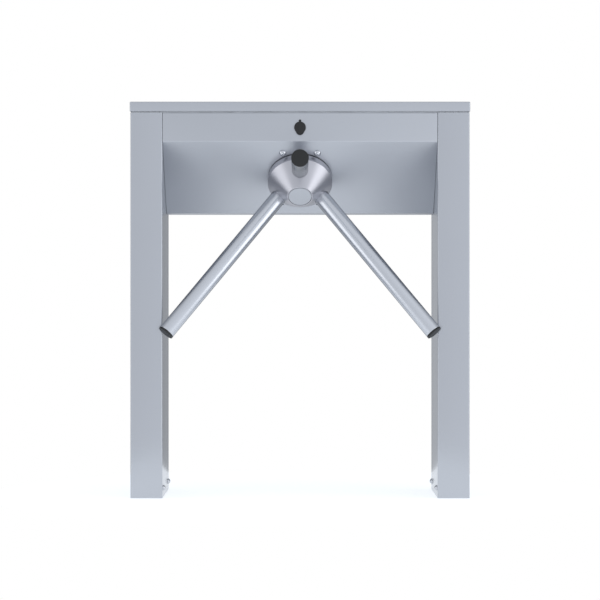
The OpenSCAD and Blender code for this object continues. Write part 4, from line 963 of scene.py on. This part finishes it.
class TURNSTILE_OT_arms(bpy.types.Operator):
    """Three polished tubes with their threaded plugs and black end caps"""

    bl_idname = "turnstile.arms"
    bl_label = "Arms"

    def execute(self, context):
        a = sizes("rotor")
        outer, inner = a.arm_diameter / 2, a.arm_diameter / 2 - a.arm_wall
        end = a.reach - a.cap_thickness
        bolt_r = a.arm_bolt / 2 + PLUG_BOLT_ROOM
        plug_end = a.arm_start + a.plug
        tube = filleted([
            (bolt_r, a.arm_start, 0.0005), (outer, a.arm_start, 0.0008), (outer, end, 0.0006),
            (inner, end, 0.0004), (inner, plug_end, 0), (bolt_r, plug_end, 0.0005)], steps=3)
        for index, node in enumerate(("arm_front", "arm_left", "arm_right")):
            arm = placed(lathed(node + "_tube", tube, 128), arm_frame(index))
            settled(painted(arm, finish(f"tube_{index}")), "rotor", node)
        rim = a.cap_diameter / 2
        stub = end - 0.02
        outline = filleted([
            (0, stub, 0), (inner, stub, 0.001), (inner, end, 0), (rim, end, 0.0003),
            (rim, a.reach, 0.0008), (0, a.reach, 0)], steps=5, closed=False)
        caps = [placed(lathed(f"cap_{k}", outline, 96, 50), arm_frame(k)) for k in range(3)]
        settled(painted(joined("arm_caps_moulded", caps), finish("black")), "rotor", "arm_caps")
        return {"FINISHED"}


def joined(name, parts):
    """One object from several, with their meshes merged."""
    mesh = bpy.data.meshes.new(name)
    bm = bmesh.new()
    for part in parts:
        bm.from_mesh(part.data)
    bm.to_mesh(mesh)
    bm.free()
    for part in parts:
        bpy.data.objects.remove(part)
    smooth(mesh)
    return linked(name, mesh)


# Rings of a button head's dome, as shares of its radius, with more towards its steep rim
DOME_RINGS = (0.97, 0.92, 0.86, 0.79, 0.71, 0.62, 0.52, 0.42, 0.34)


def button_head(name, diameter, shank):
    """Button head with a hexagon socket, its seat on z = 0, and its shank below."""
    steps = 48
    chamfer, seat_edge, socket_edge, drill_point = 0.0006, 0.0003, 0.0002, 0.0004
    f = sizes("fasteners")
    radius, height = diameter * f.head_radius, diameter * f.head_height
    dome = (radius ** 2 + height ** 2) / (height * 2)
    across = diameter * f.socket_radius
    floor = height - diameter * f.socket_depth

    def height_at(r):
        return height - dome + math.sqrt(max(dome ** 2 - r ** 2, 0))

    def circle(r, z):
        return [(x, y, z) for x, y in arc((0, 0), r, 0, 360 - 360 / steps, steps - 1)]

    def hexagon(scale, z=None):
        points = []
        for k in range(steps):
            turn = math.radians(360 * k / steps)
            r = scale * across * math.cos(math.pi / 6) / math.cos((turn % (math.pi / 3)) - math.pi / 6)
            points.append((r * math.cos(turn), r * math.sin(turn), height_at(r) if z is None else z))
        return points

    thread = diameter / 2
    rings = [circle(thread - chamfer, -shank), circle(thread, -shank + chamfer), circle(thread, 0),
             circle(radius - seat_edge, 0), circle(radius, seat_edge)]
    rings += [circle(radius * share, height_at(radius * share)) for share in DOME_RINGS]
    # The socket: its broken rim, its wall, its floor and the drill's point
    rings += [hexagon(1.08), hexagon(1.0, height_at(across) - socket_edge), hexagon(1.0, floor)]
    rings.append([(x * 0.3, y * 0.3, floor - drill_point) for x, y, z in hexagon(1.0, floor)])
    return make_piece(name, *stack(rings))


class TURNSTILE_OT_bolts(bpy.types.Operator):
    """Button head bolts of the slope and of the feet"""

    bl_idname = "turnstile.bolts"
    bl_label = "Bolts"

    def execute(self, context):
        f = sizes("fasteners")
        tree = fastener_tree()
        axis = rotor_frame()
        out = axis.to_3x3() @ Vector((0, 0, 1))
        places = [axis @ Vector(place) for place in slope_bolt_places()]
        self.group("flange_bolts_heads", "flange_bolts", tree, f.slope_bolt, f.slope_shank, places, [out] * 4)
        feet = [(sx * LEG_LOW.x, sy * f.foot_span / 2, f.foot_height) for sx in (-1, 1) for sy in (-1, 1)]
        facing = [Vector((-x, 0, 0)).normalized() for x, _, _ in feet]
        self.group("foot_bolts_heads", "foot_bolts", tree, f.foot_bolt, f.foot_shank, feet, facing)
        return {"FINISHED"}

    def group(self, name, node, tree, diameter, shank, places, facing):
        head = button_head(name + "_one", diameter, shank)
        piece = grown(name, tree, {"Head": head, "Scale": 1.0, "Finish": finish("bolt")}, places, facing)
        bpy.data.objects.remove(head)
        if not piece.data.vertices:
            raise RuntimeError(f"{name} came out empty")
        settled(painted(piece, finish("bolt")), "housing", node)


class TURNSTILE_OT_springs(bpy.types.Operator):
    """Wound return springs on the plungers and the index spring"""

    bl_idname = "turnstile.springs"
    bl_label = "Springs"

    def execute(self, context):
        s = sizes("springs")
        tree = spring_tree()
        axis = rotor_frame()
        low, high = local_box("return_springs", axis)
        wire = finish("wire")
        middle_y = high.y - (s.return_radius + s.return_wire / 2)
        middle_z = (low.z + high.z) / 2
        span = self.span(axis)
        # The exit side is the entry side after a half turn
        for name, body, turn in (("entry", "entry_solenoid_core", 0), ("exit", "exit_solenoid_core", math.pi)):
            coil = grown(name + "_return_spring_wound", tree, {
                "Turns": float(s.return_turns), "Coil Radius": s.return_radius, "Length": span,
                "Wire Radius": s.return_wire / 2, "Finish": wire})
            start = Matrix.Translation((low.x + s.return_wire / 2, middle_y, middle_z))
            place = axis @ Matrix.Rotation(turn, 4, "Z") @ start @ Matrix.Rotation(math.pi / 2, 4, "Y")
            painted(placed(coil, place), wire)
            tied(coil, body, place @ Vector((0, 0, 0)), place @ Vector((0, 0, span)), "return_springs")
        self.index(axis, tree, wire)
        return {"FINISHED"}

    def span(self, axis):
        """Length of one return spring between the middles of its end wires, from its CAD solid."""
        points = [axis.inverted() @ v.co for v in NODES["return_springs"].data.vertices]
        upper = [p for p in points if p.y > 0]
        return max(p.x for p in upper) - min(p.x for p in upper) - sizes("springs").return_wire

    def index(self, axis, tree, wire):
        """The index spring, with an eye at each end, from the crank pin to its post."""
        s = sizes("springs")
        low, high = local_box("index_spring", axis)
        middle_x, middle_z = (low.x + high.x) / 2, (low.z + high.z) / 2
        eye = (high.x - low.x) / 2 - s.index_wire / 2
        start, end = low.y + eye * 2 + s.index_wire / 2, high.y - eye * 2 - s.index_wire / 2
        coil = grown("index_coil", tree, {
            "Turns": float(s.index_turns), "Coil Radius": s.index_radius, "Length": end - start,
            "Wire Radius": s.index_wire / 2, "Finish": wire})
        place = Matrix.Translation((middle_x, start, middle_z)) @ Matrix.Rotation(-math.pi / 2, 4, "X")
        parts = [placed(coil, place)]
        for y in (low.y + eye + s.index_wire / 2, high.y - eye - s.index_wire / 2):
            ring = lathed("eye", [(eye + dx, z) for dx, z in arc((0, 0), s.index_wire / 2, 0, 330, 11)], 48)
            parts.append(placed(ring, Matrix.Translation((middle_x, y, middle_z))))
        spring = painted(placed(joined("index_spring_wound", parts), axis), wire)
        hooks = [axis @ Vector((middle_x, y, middle_z)) for y in (start, end)]
        tied(spring, "index_crank", *hooks, "index_spring")


def local_box(node, axis):
    """A CAD node's lowest and highest corners in another frame."""
    back = axis.inverted()
    points = [back @ v.co for v in NODES[node].data.vertices]
    return [Vector(end(p[i] for p in points) for i in range(3)) for end in (min, max)]


class TURNSTILE_OT_key_cover(bpy.types.Operator):
    """Swinging drop-shaped cover over the keyhole"""

    bl_idname = "turnstile.key_cover"
    bl_label = "Keyhole Cover"

    def execute(self, context):
        low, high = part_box("keyhole_cover")
        c = sizes("cover")
        main, lobe, drop, rise, boss = c.disc / 2, c.lobe / 2, c.lobe_drop, c.pivot_rise, c.boss / 2
        # Angles at which the straight sides, the lobe and the ear meet the disc
        side = math.degrees(math.acos((main - lobe) / drop))
        across = (rise ** 2 + main ** 2 - boss ** 2) / (2 * rise)
        half = math.sqrt(main ** 2 - across ** 2)
        meet = math.degrees(math.atan2(across, half))
        top = math.degrees(math.atan2(across - rise, half))
        outline = (
            arc((0, 0), main, side - 90, meet, 24)
            + arc((0, rise), boss, top, 180 - top, 16)
            + arc((0, 0), main, 180 - meet, 270 - side, 24)
            + arc((0, -drop), lobe, 270 - side, 270 + side, 24))
        thick = high.y - low.y
        edge, back_edge, overrun = c.edge, 0.0002, 0.001
        profile = ((back_edge, 0), (0, back_edge), (0, thick - edge),
                   (edge * 0.3, thick - edge * 0.3), (edge, thick))
        rings = [inset_ring(outline, inset, z) for inset, z in profile]
        cover = make_piece("keyhole_cover_moulded", *stack(rings), sharp=50)
        centre_z = high.z - rise - boss
        forwards = Matrix.Rotation(math.pi / 2, 4, "X")
        placed(cover, Matrix.Translation((0, high.y, centre_z)) @ forwards)
        rivet = Matrix.Translation((0, high.y, centre_z + rise)) @ forwards
        drilled(cover, [(rivet, c.rivet_hole / 2, -overrun, thick + overrun)])
        settled(painted(cover, finish("black")), BODY_OF["keyhole_cover"], "keyhole_cover")
        return {"FINISHED"}


def inset_ring(outline, inset, z):
    """An outline moved inwards by inset, as a ring at height z."""
    points = []
    for k, (x, y) in enumerate(outline):
        back, ahead = Vector(outline[k - 1]), Vector(outline[(k + 1) % len(outline)])
        along = ahead - back
        normal = Vector((-along.y, along.x)).normalized()
        points.append((x + normal.x * inset, y + normal.y * inset, z))
    return points


class TURNSTILE_OT_edged_parts(bpy.types.Operator):
    """Brackets, plates, hinges and other metalwork with their edges broken"""

    bl_idname = "turnstile.edged_parts"
    bl_label = "Edged Parts"

    def execute(self, context):
        finish_of = {node: name for name, nodes in NODE_FINISHES.items() for node in nodes}
        for node, width in EDGE_BREAKS.items():
            painted(softened(node, width), finish(finish_of[node]))
        return {"FINISHED"}


class TURNSTILE_OT_finishes(bpy.types.Operator):
    """Finishes of the parts that keep their CAD shape"""

    bl_idname = "turnstile.finishes"
    bl_label = "Finishes"

    def execute(self, context):
        for name, nodes in NODE_FINISHES.items():
            for node in nodes:
                painted(NODES[node], finish(name))
        return {"FINISHED"}


class TURNSTILE_PT_panel(bpy.types.Panel):
    """Lists the turnstile's operators and sizes"""

    bl_label = "Tripod Turnstile"
    bl_idname = "TURNSTILE_PT_panel"
    bl_space_type = "VIEW_3D"
    bl_region_type = "UI"
    bl_category = "Turnstile"

    def draw(self, context):
        for operator in OPERATORS:
            self.layout.operator(operator.bl_idname)
        for name, group in GROUPS.items():
            box = self.layout.box()
            box.label(text=name.title())
            for prop in group.__annotations__:
                box.prop(getattr(context.scene, "turnstile_" + name), prop)


OPERATORS = (
    TURNSTILE_OT_stage, TURNSTILE_OT_legs, TURNSTILE_OT_panels, TURNSTILE_OT_lid, TURNSTILE_OT_hub,
    TURNSTILE_OT_arms, TURNSTILE_OT_bolts, TURNSTILE_OT_springs, TURNSTILE_OT_key_cover,
    TURNSTILE_OT_edged_parts, TURNSTILE_OT_finishes,
)
GROUPS = {
    "casing": TURNSTILE_PG_casing, "rotor": TURNSTILE_PG_rotor, "fasteners": TURNSTILE_PG_fasteners,
    "cover": TURNSTILE_PG_cover, "springs": TURNSTILE_PG_springs, "studio": TURNSTILE_PG_studio,
}


def register():
    for name, group in GROUPS.items():
        bpy.utils.register_class(group)
        setattr(bpy.types.Scene, "turnstile_" + name, PointerProperty(type=group))
    for item in OPERATORS + (TURNSTILE_PT_panel,):
        bpy.utils.register_class(item)


def unregister():
    for item in reversed(OPERATORS + (TURNSTILE_PT_panel,)):
        bpy.utils.unregister_class(item)
    for name, group in reversed(GROUPS.items()):
        delattr(bpy.types.Scene, "turnstile_" + name)
        bpy.utils.unregister_class(group)


def main():
    register()
    for operator in OPERATORS:
        getattr(bpy.ops.turnstile, operator.bl_idname.split(".")[1])()
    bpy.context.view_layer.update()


if __name__ == "__main__":
    main()
